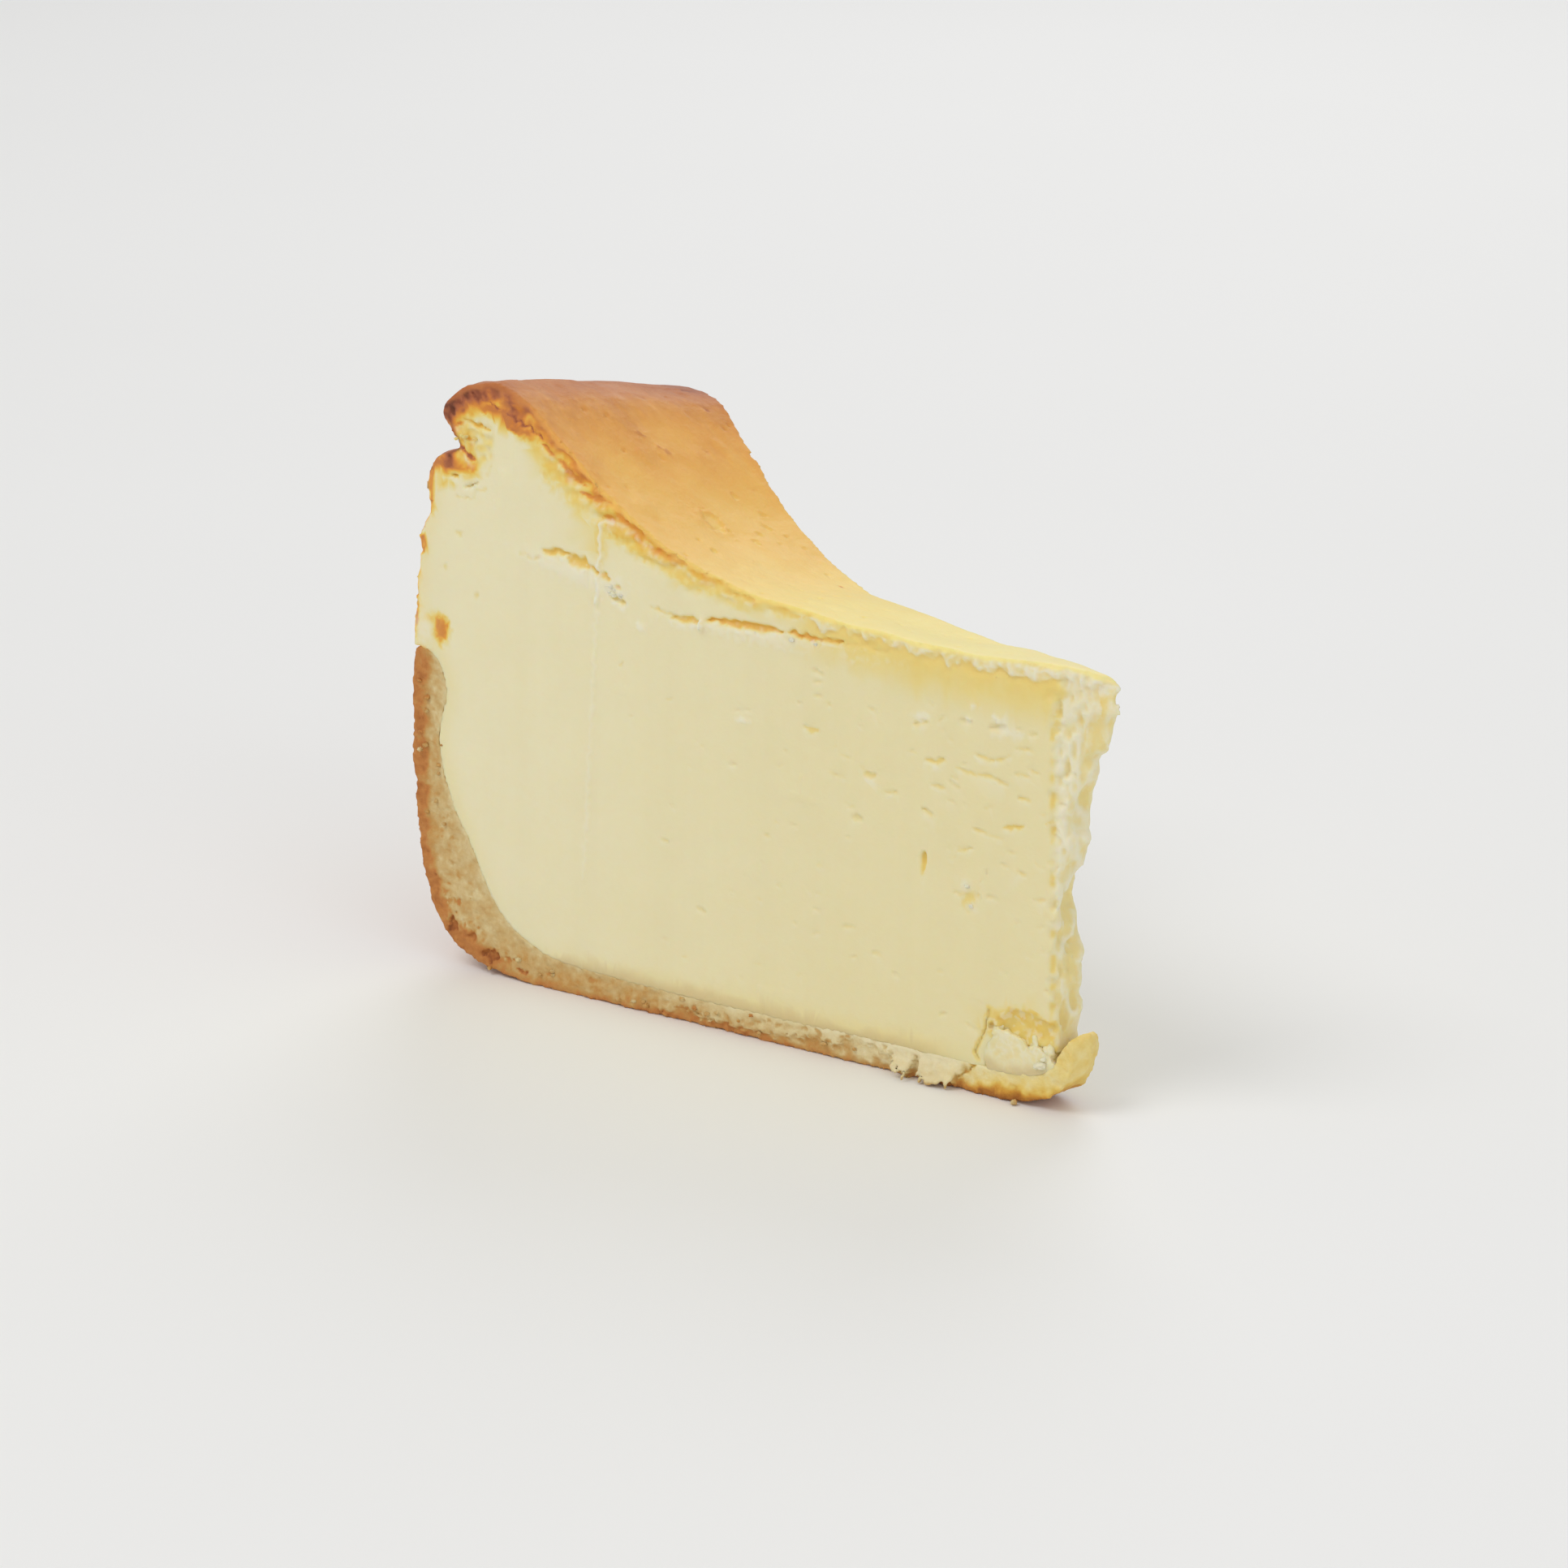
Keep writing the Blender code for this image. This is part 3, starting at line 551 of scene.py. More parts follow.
def back_face():
    """The other cut face, finished like the first, with tears of its own."""
    face = cut_face(8, 1.0)
    face.relief *= 0.8
    rng = np.random.default_rng(77)
    line = [(r, z) for r, z in skin_line(1.0) if r < 98]
    for _ in range(11):
        r, z = line[int(rng.integers(2, len(line) - 4))]
        slope = 0.35 if r > 70 else 0.08
        deep = 0.5 + 0.6 * ease(50, 90, r)
        face.tear(r, z - 2.9 - 1.0 * rng.random(), 3 + 3.5 * rng.random(), 0.7 + 0.5 * rng.random() * float(ease(45, 80, r)),
                  float(deep), tilt=slope + 0.1 * rng.normal(), jag=0.25, colour=0.4 + 0.22 * float(ease(50, 90, r)), halo=0.8, lip=0.7)
    for _ in range(8):
        r = 62 + 34 * rng.random()
        z = float(np.interp(-r, [-p[0] for p in line], [p[1] for p in line]))
        face.spot(r, z - 3.4 - rng.random(), 5 + 3 * rng.random(), 2.6 + rng.random(), 0.36 + 0.16 * rng.random(), tilt=0.3, soft=0.9, jag=0.15)
    for cu, cz, long, high, tilt in ((78.0, 50.9, 5.4, 0.9, 0.1), (72.8, 50.6, 5.0, 1.1, 0.02), (68.2, 50.3, 3.0, 0.7, -0.1),
                                     (93.4, 57.4, 4.2, 0.8, 0.2)):
        face.tear(cu, cz, long, high, 1.2, tilt=tilt, jag=0.14, colour=0.46, lip=0.8, halo=0.25)
    face.spot(73.0, 48.9, 12.0, 1.8, 0.45, mask="white", tilt=0.02, depth=-0.16, soft=0.9)
    for _ in range(44):
        cu = 15 + 62 * rng.random() ** 1.5
        cz = 14 + 34 * rng.random()
        high = 0.45 + 0.5 * rng.random() ** 1.6
        face.tear(cu, cz, high * (2.4 + 1.8 * rng.random()), high, 0.25 + 0.55 * high, tilt=0.25 * rng.normal(),
                  colour=0.18 + 0.16 * rng.random(), lip=0.3 + 0.3 * rng.random(), halo=0.25)
    # Small pores, each painted a little darker as shade in it
    for _ in range(70):
        s = 0.5 + 0.5 * rng.random() ** 2
        face.tear(14 + 80 * rng.random() ** 1.5, 8 + 42 * rng.random(), s * (1.4 + rng.random()), s * 0.45 + 0.12,
                  0.12 + 0.2 * s, tilt=rng.normal() * 0.3, colour=0.08 + 0.07 * rng.random(), lip=0.2, halo=0.2)
    # A knife ridge, painted white along its crest, partly as a highlight
    face.line([(66.0, 55.0), (66.8, 40.0), (66.4, 22.0)], 0.5, -0.14, 0.2, mask="white", jag=0.1)
    u, z = face.u, face.v
    crumb = ease(3.8, 2.2, np.hypot((u - 108.4) / 1.1, (z - 75.4) / 0.6)) * ease(104.0, 106.0, u)
    face.relief += crumb * (0.05 + 0.13 * face.curd(1.2, 40))
    face.torn = np.maximum(face.torn, crumb * np.clip(0.80 + 0.1 * face.grain(1.5, 41), 0.4, 1.0))
    for _ in range(9):
        face.spot(112.0 + 2.5 * rng.random(), 47 + 24 * rng.random(), 1.2 + 1.4 * rng.random(), 1.5 + 2.6 * rng.random(),
                  0.5 + 0.25 * rng.random(), soft=0.6, jag=0.3)
    # The torn curtain of the tip: pale on its proud folds, partly painted highlight, yellow in its deep folds as
    # painted shade
    u_end = along([(8, 13.4), (30, 13.6), (44, 12.0), (54, 8.6), (60, 8.0)], z)
    past = ease(0.3, -0.7, u - u_end - 0.28 * face.grain(3.0, 50, (4.0, 1.0)))
    folds = 0.6 * np.abs(face.grain(3.4, 51, (0.7, 2.2))) + 0.35 * np.abs(face.grain(2.4, 52, (0.8, 1.3)))
    face.relief += past * (0.10 + 0.28 * folds)
    face.white = np.maximum(face.white, past * np.clip(0.75 - 0.45 * folds, 0.1, 0.7))
    face.torn = np.maximum(face.torn * (1 - 0.6 * past), past * 0.16 * ease(0.6, 1.2, folds))
    return face


def top_skin():
    """The baked skin over radius and distance across: browning, blisters and wrinkles."""
    top = Map(9, (0.0, 121.0), (-26.0, 26.0), ("bake", "gloss"), step=0.2)
    r, w = top.u, top.v
    bake = along([(6, 0.02), (20, 0.04), (40, 0.08), (52, 0.14), (60, 0.21), (67, 0.30), (73, 0.39),
                  (79, 0.475), (85, 0.535), (90, 0.60), (95, 0.67), (98, 0.74), (101, 0.79), (104, 0.80), (107, 0.82), (112, 0.88)], r)
    shift = 0.016 * top.grain(16.0, 1) + 0.006 * top.grain(4.5, 2)
    # The far side of the slope and ridge is painted a little darker: painted shade
    far = 0.022 * ease(0, 18, w) * ease(78, 90, r) + 0.022 * ease(6, 20, w) * ease(94, 100, r)
    top.bake = np.clip(bake + far + shift * ease(40, 80, r) + 0.006 * top.grain(1.4, 3), 0, 1)
    top.relief += 0.10 * top.grain(18.0, 4) + 0.025 * top.grain(5.0, 5) * ease(48, 70, r)
    top.relief += 0.018 * top.grain(3.0, 6, (1.6, 1.0)) * ease(70, 98, r) + 0.012 * top.grain(1.4, 7) * ease(84, 104, r)
    rng = np.random.default_rng(5)
    for _ in range(26):                       # faint blisters and dimples
        cr, cw = 52 + 52 * rng.random(), -20 + 40 * rng.random()
        size = 1.2 + 2.4 * rng.random()
        top.spot(cr, cw, size, size, 0.0, mask=None, depth=rng.choice((-0.13, 0.10)), soft=0.7, jag=0.1)
    for _ in range(46):                       # pinholes
        cr, cw = 18 + 80 * rng.random(), -20 + 40 * rng.random()
        top.spot(cr, cw, 0.5, 0.5, 0.0, mask=None, depth=0.28, soft=0.5, jag=0.1)
    for cr, cw, sr, sw, dark, dent in (
            (100.6, 17.0, 1.1, 3.6, 0.92, 0.1), (94.9, 14.9, 0.9, 0.9, 0.84, 0.1), (90.8, -1.1, 1.6, 2.4, 0.70, -0.12),
            (88.5, 1.7, 1.9, 2.4, 0.68, -0.12), (88.6, 9.2, 1.4, 1.2, 0.66, 0.1), (62.3, 8.2, 0.55, 0.55, 0.97, 0.15),
            (86.0, -15.1, 1.2, 1.6, 0.62, -0.1), (104.0, -8.0, 2.2, 3.5, 0.80, 0.0), (105.6, 2.0, 1.8, 4.0, 0.84, 0.0),
            (105.0, 11.0, 1.8, 3.0, 0.82, 0.0), (96.4, 5.0, 0.7, 2.2, 0.74, 0.06), (83.5, 12.5, 0.9, 1.8, 0.60, 0.05)):
        top.spot(cr, cw, sr, sw, dark, mask="bake", soft=0.7, jag=0.25, depth=dent)
    # Torn blisters with a lighter floor and a darker rim
    for cr, cw, sr, sw in ((77.7, 0.2, 2.1, 1.5), (76.7, 8.9, 0.8, 0.7), (73.5, 3.7, 0.7, 0.6), (82.2, 8.3, 0.6, 0.5),
                           (79.5, 10.7, 0.5, 0.6), (75.2, 6.2, 0.5, 0.5), (72.0, -6.0, 0.6, 0.5), (74.8, 10.6, 0.5, 0.5)):
        w2 = top.window(cr, cw, 2.2 * sr)
        q = np.hypot((r[w2[0]] - cr) / sr, (w[:, w2[1]] - cw) / sw) + 0.22 * top.grain(1.6, 11)[w2]
        rim, inner = np.exp(-((q - 1.0) / 0.28) ** 2), ease(1.0, 0.6, q)
        top.bake[w2] = top.bake[w2] + 0.07 * rim - 0.12 * inner
        top.relief[w2] += 0.22 * inner - 0.10 * rim
    top.gloss = np.clip(0.5 + 0.25 * top.grain(7.0, 12), 0, 1)
    return top


def rim_skin():
    """The side over the crust, by distance round it and height."""
    side = Map(10, (-26.0, 26.0), (40.0, 88.0), ("bake",), step=0.2)
    a, z = side.u, side.v
    base = along([(44, 0.42), (48, 0.36), (54, 0.44), (60, 0.50), (66, 0.58), (70, 0.66), (73, 0.86), (75, 0.88),
                  (79, 0.90), (84, 0.80)], z)
    side.bake = np.clip(base + 0.09 * side.grain(5.0, 1, (1.0, 1.3)) + 0.06 * side.grain(1.8, 2), 0.1, 1)
    side.relief += 0.14 * side.grain(7.0, 3) + 0.05 * side.grain(2.6, 4) + 0.02 * side.grain(1.1, 5)
    low = ease(74.0, 70.0, z)
    side.relief += low * 0.16 * side.curd(2.2, 6)
    rng = np.random.default_rng(15)
    for _ in range(34):
        ca, cz = -22 + 44 * rng.random(), 47 + 24 * rng.random()
        size = 1.2 + 2.6 * rng.random()
        side.spot(ca, cz, size * 1.4, size, 0.62 + 0.2 * rng.random(), mask="bake", soft=0.5, jag=0.4, depth=0.15)
    for _ in range(12):                       # pale scars where the tin pulled the skin away
        ca, cz = -22 + 44 * rng.random(), 48 + 20 * rng.random()
        w = side.window(ca, cz, 5.0)
        s = ease(1.2, 0.6, np.hypot((a[w[0]] - ca) / 2.6, (z[:, w[1]] - cz) / 1.2) + 0.3 * side.grain(1.6, 7)[w])
        side.bake[w] = side.bake[w] * (1 - s) + 0.22 * s
        side.relief[w] += 0.3 * s
    for _ in range(7):                        # cracks in the mushroomed lip
        ca = -20 + 40 * rng.random()
        # The cracks are painted darkest brown: painted shade in them
        side.line([(ca, 74.6), (ca + rng.normal(), 77.0), (ca + 1.5 * rng.normal(), 80.0)], 0.4, 0.35, 1.0, mask="bake")
    return side


FRONT, BACK, TOP, SIDE = front_face(), back_face(), top_skin(), rim_skin()


# ---------------------------------------------------------------- places in the slice
class Place:
    """Cylindrical and cut-face coordinates of points given in mm in the row frame."""
    def __init__(self, x, y, z):
        self.x, self.y, self.z = x, y, z
        cx = x - F(AXIS_X)
        self.r = np.hypot(cx, y)
        self.a = np.arctan2(y, -cx)
        self.front = cx * F(SIN) - y * F(COS)       # distance outside each cut plane
        self.back = cx * F(SIN) + y * F(COS)
        self.uf = -cx * F(COS) - y * F(SIN)         # distance from the axis along each plane
        self.ub = -cx * F(COS) + y * F(SIN)
        self.t = np.clip((self.a + HALF) / (2 * HALF), 0, 1)


def unfallen(p):
    """The height before the top was lowered across the slice."""
    t = p.t ** F(FALL_POWER)
    low = p.z + along(FALL, p.r) * t * ease(42.0, 52.0, p.z)
    rim = TIN_DEPTH + (p.z - TIN_DEPTH) / (1 - RIM_FALL / (RIM_HEIGHT - TIN_DEPTH) * t)
    return np.where((p.r > CREST_R) & (p.z > TIN_DEPTH), rim, np.where(p.r > CREST_R, p.z + 0 * low, low)).astype(F)


def rounded(a, b, radius):
    """The larger of two distances, with the corner between them rounded."""
    return (np.minimum(np.maximum(a, b) + radius, 0)
            + np.hypot(np.maximum(a + radius, 0), np.maximum(b + radius, 0)) - radius)


def tip_folds(p):
    """The torn tip hangs in ragged folds, taller than they are wide."""
    return curds(3.2, 21, p.x, p.y, p.z * 0.45) + 0.20 * curds(1.3, 25, p.x, p.y, p.z * 0.8)


def tip_plain(p):
    """How far the torn tip stops short of the axis, down the far face and the near one."""
    far = along([(4, 12.9), (12, 12.5), (21, 12.6), (25, 14.1), (28, 15.8), (31, 13.9), (34, 12.9), (36.4, 12.3),
                 (37.8, 13.3), (42, 12.3), (44.5, 10.9), (47.7, 10.8), (49.6, 8.7), (52.3, 7.6), (54, 6.9), (58, 6.9),
                 (60, 7.3)], p.z)
    near = along([(4, 13.0), (13.5, 13.2), (19, 13.6), (25, 13.5), (40, 12.4), (58.5, 12.0)], p.z)
    return near + (far - near) * p.t


def tip_radius(p):
    end = tip_plain(p) - 0.15 + 0.30 * noise("soft", 6.0, 3, p.x, p.y, p.z)
    end = end + 0.42 * (tip_folds(p) - 0.5)
    low = TIP_FRONT_R + 0.2 - 0.5 * np.maximum(p.z - TIP_RISE - 0.6, 0.0)
    return np.maximum(end, low).astype(F)


def collar_wave(p):
    """The crust ends unevenly under the collar, and the filling follows it."""
    near = ease(36.0, 42.0, p.z) * ease(52.0, 47.0, p.z) * ease(100.0, 106.0, p.r) * ease(1.0, 0.85, np.abs(2 * p.t - 1))
    return near * 0.6 * noise("soft", 6.5, 61, p.x, p.y, 0 * p.z)


FILLING, CRUST, LUMP = (Outline(filling_outline()),
                        Outline(crust_inside() + crust_outside() + crust_tip()),
                        Outline(lump_outline(), high=(30.0, 14.0), step=0.1))


def filling_plain(p):
    return np.maximum(np.maximum(FILLING(p.r, unfallen(p)), tip_plain(p) - p.r - 1.2),
                      np.maximum(p.front, p.back))


def filling_parts(p):
    """Distances outside the baked surface, the cut faces and the torn tip."""
    z = unfallen(p)
    skin = FILLING(p.r, z + collar_wave(p))
    round_rim = ease(101.0, 105.5, p.r) * ease(CRUST_TOP - 0.5, CRUST_TOP + 1.0, p.z) * ease(82.5, 79.0, z)
    over = (1 - round_rim) * ease(50.0, 54.0, p.z)
    arc = p.a * p.r
    skin = skin + over * TOP.at("relief", p.r, arc) + round_rim * SIDE.at("relief", p.a * TIN_RADIUS, p.z)
    front = p.front + FRONT.at("relief", p.uf, p.z)
    back = p.back + BACK.at("relief", p.ub, p.z)
    return skin, front, back, tip_radius(p) - p.r


def hollow(p):
    """How deep a point is in the hollow over the broken lump."""
    q = np.sqrt(((p.uf - 17.3) / 6.0) ** 2 + ((p.z - 10.3) / 2.5) ** 2 + (p.front / 1.0) ** 2)
    q = q + 0.13 * noise("soft", 3.0, 8, p.x, p.y, p.z) + 0.10 * (curds(1.6, 9, p.x, p.y, p.z) - 0.4)
    return (1 - q) * 1.5


def filling_distance(p):
    skin, front, back, tip = filling_parts(p)
    # The torn end is soft where it meets the skin and the cut faces.
    end = rounded(tip, skin, 0.3 + 1.9 * ease(50.0, 55.0, p.z))
    d = rounded(np.maximum(front, back), end, 0.9 * ease(20.0, 16.0, p.r) + 0.02)
    # The hollow over the broken lump, and the crack that runs down from it
    d = np.maximum(d, hollow(p))
    away = distance_to([(23.1, 12.0), (23.6, 9.0), (24.3, 7.4), (25.0, 5.8), (24.4, 4.9)], p.uf, p.z)
    return np.maximum(d, np.minimum(0.15 - away, p.front + 0.5))


def crust_plain(p):
    shift = FLARE * ease(20.0, 8.5, p.r) * ease(0.0, 2.0, p.z)
    r = p.r - 0.9 * ease(12.4, 9.0, p.r) * np.minimum(np.abs(p.a) / HALF, 1.2) ** 2
    return np.maximum(CRUST(r, p.z), np.maximum(p.front, p.back) - shift), r, shift


def crust_map(seed):
    """Crumb of a crust's cut edge: sandy, deeper brown to the outside, pale by the filling."""
    face = Map(seed, (0.0, 121.0), (-2.0, 48.0), ("toast", "gold"))
    u, z = face.u, face.v
    from_outside = distance_to(crust_outside(), u, z)
    from_inside = distance_to(crust_inside(), u, z)
    grainy = ease(0.0, 1.2, from_inside)
    face.relief += grainy * (0.12 * face.curd(1.6, 1) + 0.06 * face.curd(0.8, 5)) + 0.08 * face.grain(5.0, 9)
    toast = along([(8, 0.28), (14, 0.22), (20, 0.18), (28, 0.10), (38, 0.10), (46, 0.22), (58, 0.32),
                   (75, 0.40), (92, 0.40), (121, 0.40)], u)
    outer = ease(96.0, 104.0, u + 0.3 * z)
    wide = 2.5 + 0.5 * face.grain(7.0, 15)
    face.toast = toast * (1 - outer) + outer * (0.33 + 0.32 * ease(wide + 0.9, wide - 0.9, from_outside))
    low = ease(along([(8, 5.5), (14, 3.8), (24, 2.6), (34, 1.7), (121, 1.8)], u) + 0.4 * face.grain(3.0, 16), 0.2, z) * (1 - outer)
    face.toast = face.toast + low * along([(8, 0.76), (24, 0.66), (34, 0.40), (60, 0.22), (95, 0.20)], u)
    face.toast = face.toast + 0.030 * face.grain(5.0, 11) + 0.028 * face.grain(1.8, 12) + 0.02 * face.grain(0.8, 13)
    face.toast = face.toast - 0.10 * ease(1.2, 0.0, from_inside)
    face.gold = ease(31.0, 22.0, u) * np.clip(1.0 + 0.1 * face.grain(3.0, 17), 0, 1)
    face.relief += ease(0.5, 0.0, from_outside) * outer * 0.25 * np.abs(face.grain(2.2, 14))
    return face


def flakes(face, stations, teeth, seed, u0, u1, proud):
    """A thin sheet dragged down over the crust, with a notched lower edge."""
    u, z = face.u, face.v
    edge = along(stations, u) + teeth * face.grain(2.4, seed, (1.0, 0.25)) + 0.6 * teeth * face.grain(1.1, seed + 1, (1.0, 0.3))
    on = ease(u0 - 0.5, u0 + 0.5, u) * ease(u1 + 0.5, u1 - 0.5, u)
    sheet = ease(-0.18, 0.18, z - edge) * on
    under = ease(0.18, -0.18, z - edge) * on
    face.relief += -proud * sheet * ease(4.4, 1.6, z) + 0.25 * under
    # Just below the sheet's edge the crust is painted darker: painted shade under the overhang
    face.toast = face.toast + 0.20 * np.exp(-np.maximum(edge - z, 0) / 0.8) * under - 0.06 * sheet


def crust_front():
    face = crust_map(21)
    for cu, cz, long, high, deep, hot in (
            (101.8, 2.9, 3.0, 1.4, 1.0, 0.92), (108.2, 5.9, 1.8, 2.4, 0.9, 0.90), (104.9, 4.9, 1.5, 1.0, 0.7, 0.7),
            (98.6, 3.0, 1.8, 0.7, 0.6, 0.66), (92.0, 2.2, 1.6, 0.6, 0.5, 0.6), (84.6, 2.8, 1.8, 0.6, 0.4, 0.55),
            (110.6, 12.0, 1.2, 1.4, 0.5, 0.66), (112.9, 22.6, 0.9, 1.6, 0.4, 0.66),
            (107.4, 9.6, 1.2, 1.2, 0.5, 0.62), (96.4, 1.6, 2.0, 0.8, 0.6, 0.8)):
        face.tear(cu, cz, long, high, deep, jag=0.7, colour=hot, mask="toast", halo=0.35)
    for cu, cz, su, sv, value in ((106.4, 4.6, 5.0, 3.4, 0.68), (102.2, 2.6, 5.4, 2.2, 0.66), (109.6, 8.6, 2.4, 4.4, 0.62)):
        face.spot(cu, cz, su, sv, value, mask="toast", soft=0.8, jag=0.5)
    flakes(face, [(43, 4.2), (44.5, 3.0), (46.5, 1.8), (48.4, 2.6), (51, 1.9), (54.7, 1.5), (58, 1.2), (61.7, 1.0), (64, 1.4),
                  (66.2, 1.1), (68.4, 1.8), (70.2, 2.4), (72, 1.0), (75, 0.2)], 0.28, 30, 43.0, 74.0, 0.30)
    flakes(face, [(26.4, 4.4), (27.0, 2.2), (28.0, 1.2), (29.6, 0.7), (31.0, 0.9), (32.4, 0.8), (33.2, 2.0), (33.7, 3.2),
                  (34.2, 1.6), (34.8, 0.1), (36.0, 0.4), (37.0, 2.2), (38.4, 2.8), (41.0, 3.4), (43, 4.2)], 0.42, 32, 26.4, 42.6, 0.50)
    # The crack down the crust, painted darker as shade in it
    face.line([(23.2, 11.3), (23.6, 9.0), (24.3, 7.4), (25.0, 5.8), (24.4, 4.9), (25.9, 3.1), (27.0, 1.9)],
              0.5, 0.5, 0.5, mask="toast")
    rng = np.random.default_rng(3)
    for _ in range(46):
        cu, cz = 44 + 60 * rng.random(), 0.4 + 3.4 * rng.random()
        s = 0.5 + 0.5 * rng.random()
        face.tear(cu, cz, s * 1.5, s * 0.8, 0.12 + 0.15 * s, tilt=rng.normal() * 0.4, colour=0.40 + 0.08 * rng.random(), mask="toast", halo=0.2)
    for _ in range(34):
        cz = 6 + 38 * rng.random()
        cu = float(np.interp(cz, [6, 18, 32, 45], [104, 109.5, 112.5, 112.6])) + rng.normal() * 1.0
        s = 0.5 + 0.5 * rng.random()
        face.tear(cu, cz, s, s * 1.1, 0.12 + 0.15 * s, colour=0.42 + 0.08 * rng.random(), mask="toast", halo=0.2)
    return face


def crust_back():
    face = crust_map(22)
    rng = np.random.default_rng(4)
    for _ in range(14):
        cu, cz = 40 + 68 * rng.random(), 1.2 + 2.0 * rng.random()
        face.tear(cu, cz, 1.2 + 1.6 * rng.random(), 0.6 + 0.6 * rng.random(), 0.4, jag=0.35, colour=0.55, mask="toast", halo=0.35)
    for _ in range(60):
        cu, cz = 44 + 60 * rng.random(), 0.4 + 3.4 * rng.random()
        s = 0.5 + 0.5 * rng.random()
        face.tear(cu, cz, s * 1.5, s * 0.8, 0.12 + 0.15 * s, tilt=rng.normal() * 0.4, colour=0.40 + 0.08 * rng.random(), mask="toast", halo=0.2)
    flakes(face, [(56, 4.0), (58, 2.6), (62, 1.6), (68, 1.2), (74, 1.8), (78, 0.6), (80, 0.2)], 0.3, 30, 56.0, 80.0, 0.3)
    flakes(face, [(30, 4.0), (31, 1.8), (34, 1.0), (38, 1.6), (41, 2.8), (44, 4.0)], 0.35, 32, 30.0, 44.0, 0.35)
    return face


CRUST_FRONT, CRUST_BACK = crust_front(), crust_back()


def crust_distance(p):
    plain, r, shift = crust_plain(p)
    body = CRUST(r, p.z + collar_wave(p))
    # The baked outside: grainy, a little lumpy
    outside = ease(98.0, 108.0, p.r)
    seen = np.clip(outside + ease(19.0, 13.0, p.r), 0, 1)
    body = body + seen * (0.08 + 0.12 * noise("soft", 7.0, 31, p.x, p.y, p.z)
                          + 0.16 * (curds(1.5, 33, p.x, p.y, p.z) - 0.35))
    body = body + 0.10 * np.abs(noise("soft", 1.8, 36, p.x, p.y, p.z)) * (1 - seen) * ease(3.0, 0.5, p.z)
    fade = ease(8.5, 12.0, p.r)
    front = p.front - shift + CRUST_FRONT.at("relief", p.uf, p.z) * fade + 0.2 * (1 - fade) * curds(1.4, 38, p.x, p.y, p.z)
    back = p.back - shift + CRUST_BACK.at("relief", p.ub, p.z) * fade + 0.2 * (1 - fade) * curds(1.4, 39, p.x, p.y, p.z)
    d = np.maximum(body, np.maximum(front, back))
    # Two thin flaps of crust curl out over the front edge and hang ragged to the plate.
    for u0, u1, top, out, seed in ((27.3, 33.2, 3.8, 1.5, 3), (34.3, 37.0, 3.0, 2.3, 5)):
        saw = 0.45 * np.abs(((p.uf + 0.3 * p.z) / 1.25 + 0.15 * seed) % 1.0 - 0.5) + 0.2 * noise("soft", 2.6, 40 + seed, p.uf, p.z, p.front)
        ef, ez = out, 0.34 - top
        low_end = np.clip(1.0 - (0.10 + saw), 0.4, 1.0)
        t = np.clip(((p.front + 0.35) * ef + (p.z - top) * ez) / (ef * ef + ez * ez), 0, low_end)
        away = np.hypot(p.front + 0.35 - t * ef, p.z - top - t * ez) - 0.30 - 0.08 * noise("soft", 1.8, 44 + seed, p.uf, p.z, p.front)
        middle, wide = 0.5 * (u0 + u1), 0.5 * (u1 - u0)
        side = np.abs(p.uf - middle - 0.35 * noise("soft", 2.4, 48 + seed, p.z, p.front, 0 * p.z)) - wide * (1 - 0.18 * t)
        d = np.minimum(d, np.maximum(away, side))
    return np.maximum(d, 0.02 - p.z)


def lump_distance(p):
    """The lump's front is as smooth as the cut, its upper edge broken into teeth."""
    ragged = 0.30 * noise("soft", 3.4, 71, p.uf, 0 * p.z, p.front * 0.3) + 0.20 * noise("soft", 1.5, 72, p.uf, 0 * p.z, p.front * 0.3)
    d = LUMP(p.r, p.z - ragged * ease(5.8, 7.2, p.z))
    d = d + 0.22 * (curds(1.4, 73, p.x, p.y, p.z) - 0.3) * ease(5.8, 7.2, p.z) * ease(-0.2, -1.2, np.maximum(p.front, p.back))
    shift = 0.85 * FLARE * ease(20.0, 8.5, p.r) * ease(8.6, 5.2, p.z)
    d = np.maximum(d, np.maximum(p.front, p.back) - shift + 0.05 * curds(1.8, 76, p.x, p.y, p.z) - 0.08)
    for cu, cz, size in ((21.9, 9.2, 0.8), (16.4, 8.4, 0.75), (14.2, 8.0, 0.8)):
        peak = np.sqrt((p.uf - cu) ** 2 + (0.7 * (p.z - cz)) ** 2 + (0.8 * (p.front + 0.9)) ** 2) - size
        d = np.minimum(d, peak + 0.12 * noise("soft", 1.6, 78, p.x, p.y, p.z))
    return d


# ---------------------------------------------------------------- meshing a distance field
def axes(low, high, step):
    return [np.arange(lo, hi + step, step, dtype=F) for lo, hi in zip(low, high)]


def field(low, high, step, plain, fine, inner, outer):
    """Samples of a distance function: plain everywhere, fine only near the surface."""
    xs, ys, zs = axes(low, high, step)
    d = np.empty((xs.size, ys.size, zs.size), F)
    for i in range(0, xs.size, 24):
        x = xs[i:i + 24, None, None]
        p = Place(x, ys[None, :, None], zs[None, None, :])
        shape = d[i:i + 24].shape
        for name in ("r", "a", "front", "back", "uf", "ub", "t", "z"):
            setattr(p, name, np.ascontiguousarray(np.broadcast_to(getattr(p, name), shape)))
        d[i:i + 24] = plain(p)
    near = np.flatnonzero((d.ravel() > -inner) & (d.ravel() < outer))
    flat = d.ravel()
    size = 400000
    for k in range(0, near.size, size):
        part = near[k:k + size]
        i, j, l = np.unravel_index(part, d.shape)
        flat[part] = fine(Place(xs[i], ys[j], zs[l]))
    return flat.reshape(d.shape), (xs[0], ys[0], zs[0])


